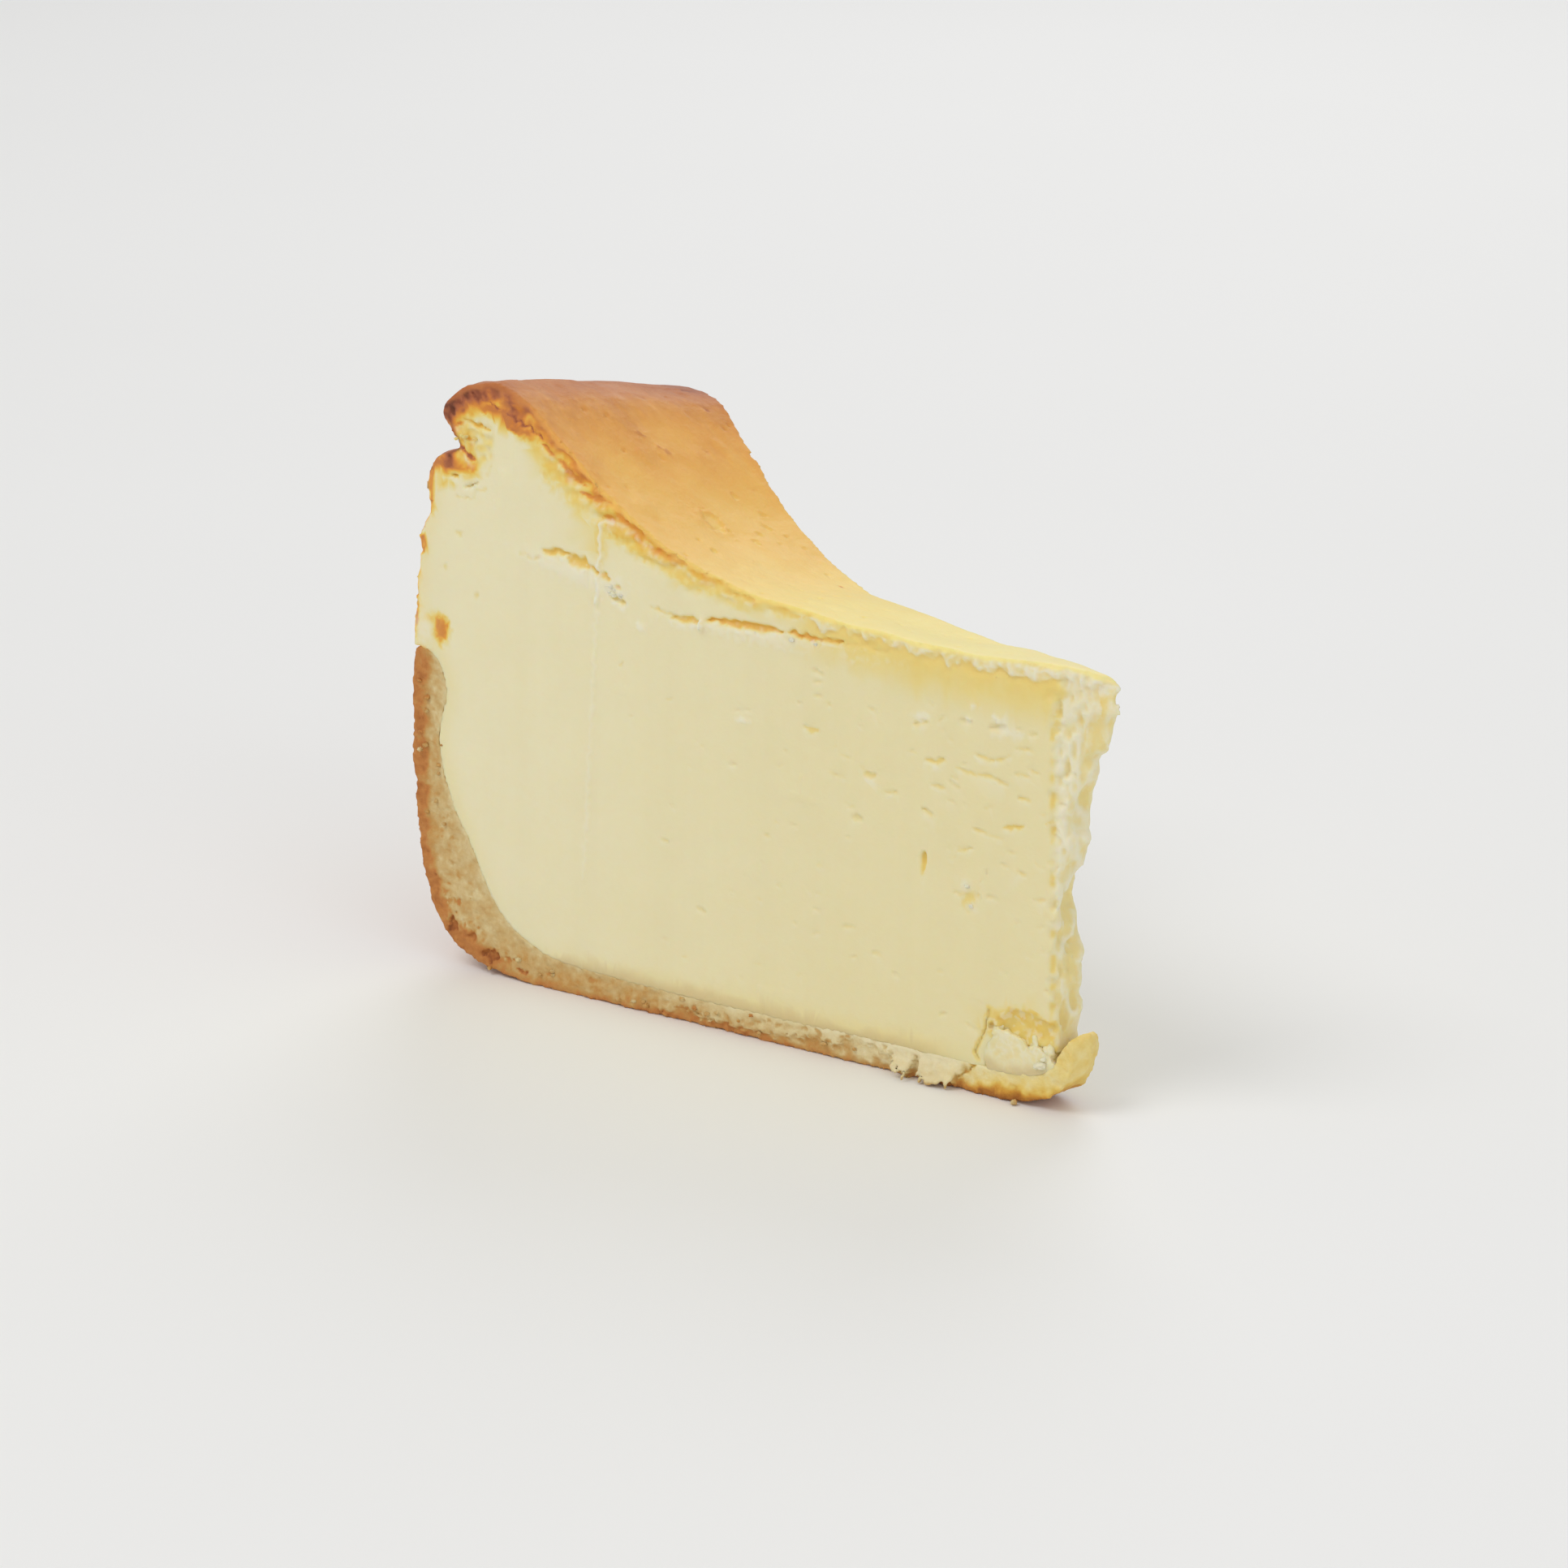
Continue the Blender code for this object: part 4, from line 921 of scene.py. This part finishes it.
def surface(d, origin, step):
    """The zero surface, one vertex in each cell that it crosses and a quad for each
    sample edge that it crosses."""
    s = d < 0
    count = np.zeros(tuple(n - 1 for n in d.shape), np.uint8)
    corners = [(i, j, k) for i in (0, 1) for j in (0, 1) for k in (0, 1)]
    for i, j, k in corners:
        count += s[i:s.shape[0] - 1 + i, j:s.shape[1] - 1 + j, k:s.shape[2] - 1 + k]
    cells = np.argwhere((count > 0) & (count < 8))
    index = np.full(count.shape, -1, np.int32)
    index[cells[:, 0], cells[:, 1], cells[:, 2]] = np.arange(len(cells))
    value = {c: d[cells[:, 0] + c[0], cells[:, 1] + c[1], cells[:, 2] + c[2]] for c in corners}
    total, hits = np.zeros((len(cells), 3)), np.zeros(len(cells))
    for c in corners:
        for axis in range(3):
            if c[axis]:
                continue
            e = tuple(1 if n == axis else c[n] for n in range(3))
            a, b = value[c], value[e]
            cross = (a < 0) != (b < 0)
            t = a[cross] / (a[cross] - b[cross])
            at = np.tile(np.array(c, float), (len(t), 1))
            at[:, axis] = t
            total[cross] += at
            hits[cross] += 1
    points = (cells + total / hits[:, None]) * step + np.array(origin, float)
    quads = []
    for axis in range(3):
        one = [slice(1, -1)] * 3
        two = [slice(1, -1)] * 3
        one[axis], two[axis] = slice(0, -1), slice(1, None)
        a, b = s[tuple(one)], s[tuple(two)]
        for forward in (True, False):
            at = np.argwhere(a & ~b if forward else ~a & b)
            at += [0 if n == axis else 1 for n in range(3)]
            m, n = [k for k in range(3) if k != axis]
            ring = []
            for dm, dn in ((0, 0), (1, 0), (1, 1), (0, 1)):
                cell = at.copy()
                cell[:, m] -= dm
                cell[:, n] -= dn
                ring.append(index[cell[:, 0], cell[:, 1], cell[:, 2]])
            ring = np.stack(ring, axis=1)
            flip = forward ^ (axis == 1)
            quads.append(ring if flip else ring[:, ::-1])
    return points, np.concatenate(quads)


def largest(points, quads):
    """Keeps the one largest connected piece, so that no loose bits float about."""
    label = np.arange(len(points))
    ends = np.concatenate([quads[:, [0, 1]], quads[:, [1, 2]], quads[:, [2, 3]]])
    while True:
        low = np.minimum(label[ends[:, 0]], label[ends[:, 1]])
        new = label.copy()
        np.minimum.at(new, ends[:, 0], low)
        np.minimum.at(new, ends[:, 1], low)
        new = new[new]
        new = new[new]
        if (new == label).all():
            break
        label = new
    names, sizes = np.unique(label, return_counts=True)
    keep = label == names[sizes.argmax()]
    renumber = np.cumsum(keep) - 1
    return points[keep], renumber[quads[keep[quads[:, 0]]]]


def mesh_object(name, points, quads, triangles):
    mesh = bpy.data.meshes.new(name)
    mesh.vertices.add(len(points))
    mesh.vertices.foreach_set("co", (points * 0.001).astype(F).ravel())
    mesh.loops.add(quads.size)
    mesh.loops.foreach_set("vertex_index", quads.astype(np.int32).ravel())
    mesh.polygons.add(len(quads))
    mesh.polygons.foreach_set("loop_start", np.arange(0, quads.size, quads.shape[1], dtype=np.int32))
    mesh.update(calc_edges=True)
    mesh.validate()
    made = bpy.data.objects.new(name, mesh)
    bpy.context.scene.collection.objects.link(made)
    now = len(quads) * (quads.shape[1] - 2)
    if now > triangles:
        thin = made.modifiers.new("thin", "DECIMATE")
        thin.ratio = triangles / now
        bpy.context.view_layer.update()
        graph = bpy.context.evaluated_depsgraph_get()
        less = bpy.data.meshes.new_from_object(made.evaluated_get(graph))
        made.modifiers.clear()
        made.data = less
        bpy.data.meshes.remove(mesh)
        less.name = name
    made.data.shade_smooth()
    return made


def points_of(obj):
    co = np.empty(len(obj.data.vertices) * 3, F)
    obj.data.vertices.foreach_get("co", co)
    return co.reshape(-1, 3) * 1000


def write(obj, name, values):
    made = obj.data.attributes.new(name, "FLOAT", "POINT")
    made.data.foreach_set("value", np.clip(values, 0, 1).astype(F))


def build(name, low, high, step, plain, fine, inner, outer, triangles):
    d, origin = field(low, high, step, plain, fine, inner, outer)
    points, quads = largest(*surface(d, origin, step))
    return mesh_object(name, points, quads, triangles)


# ---------------------------------------------------------------- the three pieces
def make_filling():
    made = build("cheesecake_filling", (-54.9, -23.1, 3.2), (55.2, 23.1, 84.4), FILLING_STEP,
                 filling_plain, filling_distance, 3.3, 0.9, 194000)
    p = Place(*points_of(made).T)
    skin, front, back, tip = filling_parts(p)
    cut = np.maximum(np.maximum(front, back), tip)
    z = unfallen(p)
    wrap = 0.12 + (0.33 + 0.30 * ease(60.0, 78.0, p.r)) * ease(74.5, 77.0, z + 40 * ease(104.0, 100.0, p.r)) + 0.14 * noise("soft", 3.2, 84, p.x, p.y, p.z)
    on_skin = ease(wrap + 0.3, wrap - 0.25, cut - skin) * ease(-1.6, -0.9, skin)
    baked_here = np.where(p.r > CREST_R, p.z > CRUST_TOP - 0.6, z > 52).astype(F)
    round_rim = ease(101.0, 106.0, p.r) * ease(82.5, 79.0, z)
    bake = (1 - round_rim) * TOP.at("bake", p.r, p.a * p.r) + round_rim * SIDE.at("bake", p.a * TIN_RADIUS, p.z)
    write(made, "skin", on_skin * baked_here)
    write(made, "bake", bake)
    is_front = p.front > p.back
    torn = np.where(is_front, FRONT.at("torn", p.uf, p.z), BACK.at("torn", p.ub, p.z))
    white = np.where(is_front, FRONT.at("white", p.uf, p.z), BACK.at("white", p.ub, p.z))
    # The torn tip: pale curd on its high points, partly painted highlight, and yellow in its creases as painted shade
    at_tip = ease(-0.25, 0.05, tip) * ease(0.3, 0.0, np.maximum(front, back) - tip)
    lumps = tip_folds(p)
    torn = torn * (1 - at_tip) + at_tip * np.clip(0.05 + 0.14 * ease(0.6, 1.35, lumps), 0, 0.5)
    white = white * (1 - at_tip) + at_tip * ease(0.95, 0.3, lumps) * 0.6
    # The hollow over the lump is painted yellow, partly the torn curd's colour and partly painted shade in it
    inside = ease(-0.55, -0.05, hollow(p))
    torn = torn * (1 - inside) + inside * np.clip(0.34 + 0.035 * noise("soft", 2.0, 81, p.x, p.y, p.z), 0, 0.42)
    white = white * (1 - inside) + inside * 0.45 * ease(0.55, 0.9, noise("soft", 1.5, 82, p.x, p.y, p.z))
    # The crack below the hollow is painted yellow as shade in it
    away = distance_to([(23.1, 12.0), (23.6, 9.0), (24.3, 7.4), (25.0, 5.8), (24.4, 4.9)], p.uf, p.z)
    torn = np.maximum(torn, 0.24 * ease(0.6, 0.25, away) * ease(-2.5, -1.0, p.front))
    # Heat has reached a little way in from the crust and the rim
    near_crust = ease(3.0, 0.2, p.z - 4.4) * ease(22.0, 34.0, p.r) + ease(3.5, 0.3, -FILLING(p.r, z)) * ease(96.0, 108.0, p.r)
    torn = torn + 0.07 * np.clip(near_crust, 0, 1)
    tan = ease(1.7 + 0.5 * noise("soft", 6.0, 83, p.uf, p.z, 0 * p.z), 0.0, p.z - 4.3) * ease(26.0, 36.0, p.r) * ease(100.0, 90.0, p.r)
    write(made, "tan", tan * (1 - inside))
    write(made, "torn", torn)
    write(made, "white", white)
    write(made, "edge", np.where(is_front, FRONT.at("edge", p.uf, p.z), BACK.at("edge", p.ub, p.z)))
    return made


def make_crust():
    made = build("pastry_crust", (-54.9, -23.2, -0.5), (53.0, 23.2, 46.2), CRUST_STEP,
                 lambda p: crust_plain(p)[0], crust_distance, 2.0, 1.9, 170000)
    p = Place(*points_of(made).T)
    shift = FLARE * ease(20.0, 8.5, p.r) * ease(0.0, 2.0, p.z)
    front, back = p.front - shift, p.back - shift
    toast = np.where(front > back, CRUST_FRONT.at("toast", p.uf, p.z), CRUST_BACK.at("toast", p.ub, p.z))
    gold = np.where(front > back, CRUST_FRONT.at("gold", p.uf, p.z), CRUST_BACK.at("gold", p.ub, p.z))
    on_cut = ease(-1.0, -0.35, np.maximum(front, back))
    flap = ease(0.25, 0.6, p.front) * ease(26.0, 27.0, p.uf) * ease(38.5, 37.5, p.uf)
    toast = toast * (1 - flap) + flap * (0.10 + 0.30 * ease(1.0, 0.3, p.z) + 0.04 * noise("soft", 1.6, 96, p.x, p.y, p.z))
    lumps = curds(1.5, 33, p.x, p.y, p.z)
    wall = 0.63 + 0.06 * noise("soft", 9.0, 91, p.x, p.y, p.z) + 0.03 * noise("soft", 3.0, 92, p.x, p.y, p.z)
    # Darker in the dents of the lumpy outside: painted shade
    wall = wall + 0.10 * (lumps - 0.5) - 0.04 * ease(36.0, 45.0, p.z)
    under = ease(1.6, 0.2, p.z) * ease(104.0, 96.0, p.r)
    wall = wall * (1 - under) + under * (0.58 + 0.06 * noise("soft", 6.0, 93, p.x, p.y, p.z))
    inner = ease(0.3, 1.2, distance_to(crust_outside(), p.r, p.z)) * ease(CRUST_TOP - 3.5, CRUST_TOP - 1.0, p.z)
    wall = wall - 0.26 * inner
    tip = ease(15.5, 11.0, p.r)
    wall = wall * (1 - tip) + tip * (0.24 + 0.44 * ease(6.4, 0.5, p.z) + 0.05 * noise("soft", 3.0, 94, p.x, p.y, p.z))
    write(made, "toast", toast * on_cut + wall * (1 - on_cut))
    write(made, "golden", np.maximum(gold * on_cut, tip))
    return made


def make_lump():
    made = build("broken_tip_curd", (36.0, -6.0, 3.8), (49.6, 6.0, 11.6), LUMP_STEP,
                 lambda p: np.maximum(LUMP(p.r, p.z), np.maximum(p.front, p.back)), lump_distance, 2.0, 1.6, 60000)
    p = Place(*points_of(made).T)
    lumps = curds(1.3, 73, p.x, p.y, p.z)
    high = ease(5.2, 7.6, p.z)
    write(made, "torn", 0.03 + 0.05 * lumps)
    # Paler towards the broken top: partly pale curd, partly painted highlight on its edge
    write(made, "white", high * 0.35 * ease(0.8, 0.3, lumps))
    write(made, "tan", 1.0 - ease(4.2, 6.4, p.z + 0.4 * noise("soft", 4.0, 95, p.x, p.y, p.z)))
    write(made, "skin", 0 * lumps)
    write(made, "bake", 0 * lumps)
    write(made, "edge", 0 * lumps)
    return made


# ---------------------------------------------------------------- crumbs
def crumb(bm, centre, size, rng, flat=0.8):
    """One irregular crumb, a noisy ball with flattened sides."""
    import bmesh
    made = bmesh.ops.create_icosphere(bm, subdivisions=3, radius=1.0)["verts"]
    a, b = rng.random(3) * 40, rng.random(3) * 40
    stretch = np.array((1 + 0.5 * rng.random(), 0.8 + 0.4 * rng.random(), flat))
    co = np.array([v.co[:] for v in made], F)
    n = noise("soft", 1.1, 5, *(co + a.astype(F)).T) * 0.16 + noise("soft", 0.5, 6, *(co + b.astype(F)).T) * 0.08
    co = co * (1 + n)[:, None] * stretch * size
    turn = Matrix.Rotation(rng.random() * math.tau, 3, "Z")
    for v, c in zip(made, co):
        v.co = (turn @ Vector(c.tolist()) + Vector(centre)) * 0.001


def on_front(u, z, out=0.0):
    """A point on the front cut plane, or this far outside it, in mm."""
    return (AXIS_X - u * COS + out * SIN, -u * SIN - out * COS, z)


def crumbs(name, places, seed):
    import bmesh
    rng = np.random.default_rng(seed)
    bm = bmesh.new()
    for u, z, out, size in places:
        crumb(bm, on_front(u, z, out), size, rng)
    mesh = bpy.data.meshes.new(name)
    bm.to_mesh(mesh)
    bm.free()
    mesh.shade_smooth()
    made = bpy.data.objects.new(name, mesh)
    bpy.context.scene.collection.objects.link(made)
    return made


def make_curd_crumbs():
    """Pale crumbs of filling that cling to the tears, the ledges and the broken tip."""
    rng = np.random.default_rng(41)
    places = [(81.9, 57.6, -0.15, 0.40), (82.3, 58.6, -0.15, 0.34), (54.2, 56.2, -0.15, 0.42), (50.4, 56.2, -0.15, 0.30),
              (26.9, 28.0, -0.25, 0.42), (26.2, 25.5, -0.2, 0.36), (14.9, 6.3, 0.35, 0.62), (15.7, 5.9, 0.25, 0.40), (14.6, 7.1, 0.2, 0.36)]
    for u0, z0, u1, z1, n, size in ((84, 58.9, 80.5, 57.6, 8, 0.30), (66, 55.4, 47, 56.1, 7, 0.24),
                                    (108, 75.6, 104, 75.2, 5, 0.28)):
        for _ in range(n):
            s = rng.random()
            places.append((u0 + (u1 - u0) * s + 0.3 * rng.normal(), z0 + (z1 - z0) * s + 0.35 * rng.normal(),
                           -0.30 + 0.15 * rng.random(), size * (0.6 + 0.6 * rng.random())))
    made = crumbs("curd_crumbs", places, 42)
    p = Place(*points_of(made).T)
    n = noise("soft", 1.6, 17, p.x, p.y, p.z)
    high = ease(62.0, 78.0, p.z)
    write(made, "torn", 0.10 + 0.35 * high + 0.06 * n)
    write(made, "white", (0.7 + 0.2 * n) * (1 - 0.7 * high))
    for empty in ("skin", "bake", "edge", "tan"):
        write(made, empty, 0 * n)
    return made


def make_pastry_crumbs():
    rng = np.random.default_rng(43)
    places = [(18.6, 0.45, 0.5, 0.42)]
    for _ in range(20):
        u = 40 + 62 * rng.random()
        places.append((u, 0.9 + 2.6 * rng.random(), -0.22 + 0.12 * rng.random(), 0.22 + 0.20 * rng.random()))
    for _ in range(12):
        z = 8 + 34 * rng.random()
        u = float(np.interp(z, [6, 18, 32, 45], [104, 109.5, 112.5, 112.6])) + rng.normal() * 0.9
        places.append((u, z, -0.22 + 0.1 * rng.random(), 0.2 + 0.2 * rng.random()))
    made = crumbs("pastry_crumbs", places, 44)
    p = Place(*points_of(made).T)
    write(made, "toast", 0.42 + 0.1 * noise("soft", 2.4, 18, p.x, p.y, p.z))
    write(made, "golden", 0 * p.x)
    return made


# ---------------------------------------------------------------- materials
def linear(*srgb):
    return tuple((c / 255 / 12.92) if c / 255 <= 0.04045 else ((c / 255 + 0.055) / 1.055) ** 2.4 for c in srgb)


class Nodes:
    """A short way to write a material's node tree."""
    def __init__(self, name):
        self.material = bpy.data.materials.new(name)
        self.material.use_nodes = True
        self.tree = self.material.node_tree
        self.shader = self.tree.nodes["Principled BSDF"]

    def node(self, kind, **inputs):
        made = self.tree.nodes.new(kind)
        for key, value in inputs.items():
            self.put(made.inputs[key.replace("_", " ")], value)
        return made

    def put(self, socket, value):
        if isinstance(value, bpy.types.NodeSocket):
            self.tree.links.new(value, socket)
        else:
            socket.default_value = value

    def mask(self, name):
        made = self.tree.nodes.new("ShaderNodeAttribute")
        made.attribute_name = name
        return made.outputs["Fac"]

    def maths(self, operation, a, b=0.0, clamp=False):
        made = self.tree.nodes.new("ShaderNodeMath")
        made.operation, made.use_clamp = operation, clamp
        self.put(made.inputs[0], a)
        self.put(made.inputs[1], b)
        return made.outputs[0]

    def noise(self, scale, detail=3.0, rough=0.5, stretch=(1, 1, 1), shift=(0, 0, 0)):
        where = self.node("ShaderNodeTexCoord").outputs["Object"]
        placed = self.tree.nodes.new("ShaderNodeMapping")
        placed.inputs["Scale"].default_value = stretch
        placed.inputs["Location"].default_value = shift
        self.put(placed.inputs["Vector"], where)
        made = self.node("ShaderNodeTexNoise", Scale=scale, Detail=detail, Roughness=rough)
        self.put(made.inputs["Vector"], placed.outputs[0])
        return made.outputs["Fac"]

    def ramp(self, fac, stops):
        made = self.tree.nodes.new("ShaderNodeValToRGB")
        bar = made.color_ramp
        while len(bar.elements) < len(stops):
            bar.elements.new(0.5)
        for element, (place, colour) in zip(bar.elements, stops):
            element.position = place
            element.color = (*linear(*colour), 1)
        self.put(made.inputs[0], fac)
        return made.outputs[0]

    def mix(self, fac, a, b, kind="MIX"):
        made = self.tree.nodes.new("ShaderNodeMix")
        made.data_type, made.blend_type = "RGBA", kind
        self.put(made.inputs[0], fac)
        self.put(made.inputs[6], a)
        self.put(made.inputs[7], b)
        return made.outputs[2]

    def bump(self, height, strength, distance, normal=None):
        made = self.node("ShaderNodeBump", Strength=strength, Distance=distance)
        self.put(made.inputs["Height"], height)
        if normal is not None:
            self.put(made.inputs["Normal"], normal)
        return made.outputs[0]


def custard_material():
    """Cut and torn cheese, and its baked skin."""
    n = Nodes("cheesecake")
    skin, bake, torn, white, tan = (n.mask(k) for k in ("skin", "bake", "torn", "white", "tan"))
    cloud = n.noise(55.0, 4.0, 0.55)
    fine = n.noise(700.0, 5.0, 0.6)
    streak = n.noise(220.0, 3.0, 0.5, stretch=(1.0, 1.0, 0.04))
    speck = n.noise(1900.0, 3.0, 0.6)

    heat = n.maths("ADD", torn, n.maths("MULTIPLY", n.maths("SUBTRACT", fine, 0.5), 0.05))
    heat = n.maths("ADD", heat, n.maths("MULTIPLY", n.maths("SUBTRACT", cloud, 0.5), 0.05), clamp=True)
    flesh = n.ramp(heat, [
        (0.0, (242, 234, 198)), (0.10, (240, 228, 178)), (0.22, (241, 221, 146)), (0.38, (240, 208, 110)),
        (0.50, (238, 187, 76)), (0.62, (233, 160, 66)), (0.74, (216, 136, 62)), (0.84, (186, 110, 70)), (0.92, (152, 84, 56)),
        (1.0, (112, 60, 40))])
    flesh = n.mix(n.maths("MULTIPLY", n.maths("SUBTRACT", streak, 0.40, clamp=True), 0.35, clamp=True), flesh,
                  (*linear(226, 214, 168), 1))
    flesh = n.mix(n.maths("MULTIPLY", tan, 0.75), flesh, (*linear(218, 194, 144), 1))
    flesh = n.mix(n.maths("MULTIPLY", white, 0.8), flesh, (*linear(244, 240, 222), 1))

    brown = n.maths("ADD", bake, n.maths("MULTIPLY", n.maths("SUBTRACT", cloud, 0.5), 0.04))
    brown = n.maths("ADD", brown, n.maths("MULTIPLY", n.maths("SUBTRACT", fine, 0.5), 0.03), clamp=True)
    rind = n.ramp(brown, [
        (0.0, (252, 236, 170)), (0.06, (253, 234, 154)), (0.14, (253, 227, 138)), (0.26, (252, 216, 126)),
        (0.36, (249, 203, 111)), (0.46, (248, 198, 104)), (0.54, (247, 190, 97)), (0.63, (237, 171, 88)),
        (0.72, (207, 136, 76)), (0.82, (184, 110, 64)), (0.90, (162, 96, 64)), (1.0, (112, 62, 44))])
    rind = n.mix(n.maths("MULTIPLY", n.maths("SUBTRACT", speck, 0.60, clamp=True), 0.6, clamp=True), rind,
                 (*linear(196, 132, 76), 1))
    colour = n.mix(skin, flesh, rind)
    n.put(n.shader.inputs["Base Color"], colour)

    rough = n.maths("SUBTRACT", 0.52, n.maths("MULTIPLY", skin, 0.10))
    rough = n.maths("ADD", rough, n.maths("MULTIPLY", n.maths("SUBTRACT", fine, 0.5), 0.16))
    rough = n.maths("ADD", rough, n.maths("MULTIPLY", torn, 0.10), clamp=True)
    n.put(n.shader.inputs["Roughness"], rough)

    grainy = n.maths("ADD", 0.10, n.maths("MULTIPLY", torn, 0.5))
    normal = n.bump(fine, grainy, 0.0004)
    normal = n.bump(streak, 0.10, 0.0003, normal)
    normal = n.bump(speck, 0.10, 0.0002, normal)
    n.put(n.shader.inputs["Normal"], normal)
    n.shader.inputs["Specular IOR Level"].default_value = 0.26
    n.shader.inputs["Subsurface Weight"].default_value = 0.30
    n.shader.inputs["Subsurface Radius"].default_value = (1.0, 0.62, 0.30)
    n.shader.inputs["Subsurface Scale"].default_value = 0.0016
    return n.material


def pastry_material():
    """Baked shortcrust: sandy, golden to brown, darker in its pits, partly painted shade."""
    n = Nodes("shortcrust")
    toast, golden = n.mask("toast"), n.mask("golden")
    cloud = n.noise(90.0, 4.0, 0.6)
    sand = n.noise(1100.0, 5.0, 0.65)
    speck = n.noise(2300.0, 3.0, 0.6)
    heat = n.maths("ADD", toast, n.maths("MULTIPLY", n.maths("SUBTRACT", cloud, 0.5), 0.14))
    heat = n.maths("ADD", heat, n.maths("MULTIPLY", n.maths("SUBTRACT", sand, 0.5), 0.22), clamp=True)
    colour = n.ramp(heat, [
        (0.0, (238, 226, 186)), (0.18, (228, 210, 160)), (0.34, (212, 182, 124)), (0.48, (203, 157, 90)),
        (0.62, (200, 134, 70)), (0.78, (172, 104, 50)), (0.90, (126, 70, 32)), (1.0, (86, 44, 20))])
    colour = n.mix(n.maths("MULTIPLY", golden, 0.96, clamp=True), colour, n.ramp(heat, [
        (0.0, (246, 234, 184)), (0.2, (244, 222, 146)), (0.40, (238, 204, 104)), (0.62, (220, 162, 62)), (0.8, (180, 116, 46)),
        (1.0, (130, 78, 34))]))
    n.put(n.shader.inputs["Base Color"], colour)
    n.put(n.shader.inputs["Roughness"], n.maths("ADD", 0.66, n.maths("MULTIPLY", n.maths("SUBTRACT", sand, 0.5), 0.3), clamp=True))
    normal = n.bump(sand, 0.40, 0.0005)
    normal = n.bump(speck, 0.25, 0.0003, normal)
    n.put(n.shader.inputs["Normal"], normal)
    n.shader.inputs["Specular IOR Level"].default_value = 0.3
    n.shader.inputs["Subsurface Weight"].default_value = 0.10
    n.shader.inputs["Subsurface Radius"].default_value = (1.0, 0.5, 0.2)
    n.shader.inputs["Subsurface Scale"].default_value = 0.0008
    return n.material


# ---------------------------------------------------------------- put together
cheese, pastry = custard_material(), pastry_material()
filling, crust, lump = make_filling(), make_crust(), make_lump()
curd_bits, pastry_bits = make_curd_crumbs(), make_pastry_crumbs()
for piece, look, node, slot in ((filling, cheese, "filling", "custard"), (crust, pastry, "crust", "pastry"),
                                (lump, cheese, "tip_fragment", "torn_custard"), (curd_bits, cheese, None, "torn_custard"),
                                (pastry_bits, pastry, None, "pastry")):
    piece.data.materials.clear()
    piece.data.materials.append(look)
    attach(piece, "root")
    if node:
        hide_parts(node)


# ---------------------------------------------------------------- stage, light, camera
def make_floor():
    n = Nodes("floor")
    tone = n.noise(6.0, 2.0, 0.5)
    n.put(n.shader.inputs["Base Color"], n.ramp(tone, [(0.0, (243, 243, 242)), (1.0, (246, 246, 245))]))
    n.shader.inputs["Roughness"].default_value = 0.6
    mesh = bpy.data.meshes.new("floor")
    side = 3.0
    mesh.from_pydata([(-side, -side, 0), (side, -side, 0), (side, side, 0), (-side, side, 0)], [], [(0, 1, 2, 3)])
    mesh.materials.append(n.material)
    made = bpy.data.objects.new("floor", mesh)
    bpy.context.scene.collection.objects.link(made)


def area(name, place, target, size, power, colour=(1, 1, 1)):
    data = bpy.data.lights.new(name, "AREA")
    data.shape, data.size, data.energy, data.color = "DISK", size, power, colour
    made = bpy.data.objects.new(name, data)
    made.location = place
    made.rotation_euler = (Vector(target) - Vector(place)).to_track_quat("-Z", "Y").to_euler()
    bpy.context.scene.collection.objects.link(made)


make_floor()
area("key", (-0.25, -0.75, 1.10), (0, 0, 0.04), 0.7, 4.6, (1.0, 0.985, 0.96))
area("fill", (0.95, -0.35, 0.55), (0, 0, 0.04), 0.9, 1.4)
area("rear", (-0.55, 0.85, 0.75), (0, 0, 0.05), 0.8, 2.6)

world = bpy.data.worlds.new("studio")
world.use_nodes = True
world.node_tree.nodes["Background"].inputs["Color"].default_value = (1.0, 1.0, 1.0, 1.0)
world.node_tree.nodes["Background"].inputs["Strength"].default_value = 0.56
bpy.context.scene.world = world

lens = bpy.data.cameras.new("camera")
lens.lens, lens.sensor_width = 110.0, 36.0
lens.clip_start, lens.clip_end = 0.01, 20.0
camera = bpy.data.objects.new("camera", lens)
camera.matrix_world = Matrix((
    (0.72496, -0.22543, 0.65086, 0.41340),
    (0.68849, 0.20904, -0.69447, -0.44417),
    (0.02050, 0.95157, 0.30675, 0.22798),
    (0.0, 0.0, 0.0, 1.0)))
bpy.context.scene.collection.objects.link(camera)
bpy.context.scene.camera = camera
bpy.context.scene.view_settings.view_transform = "Standard"

bpy.context.view_layer.update()
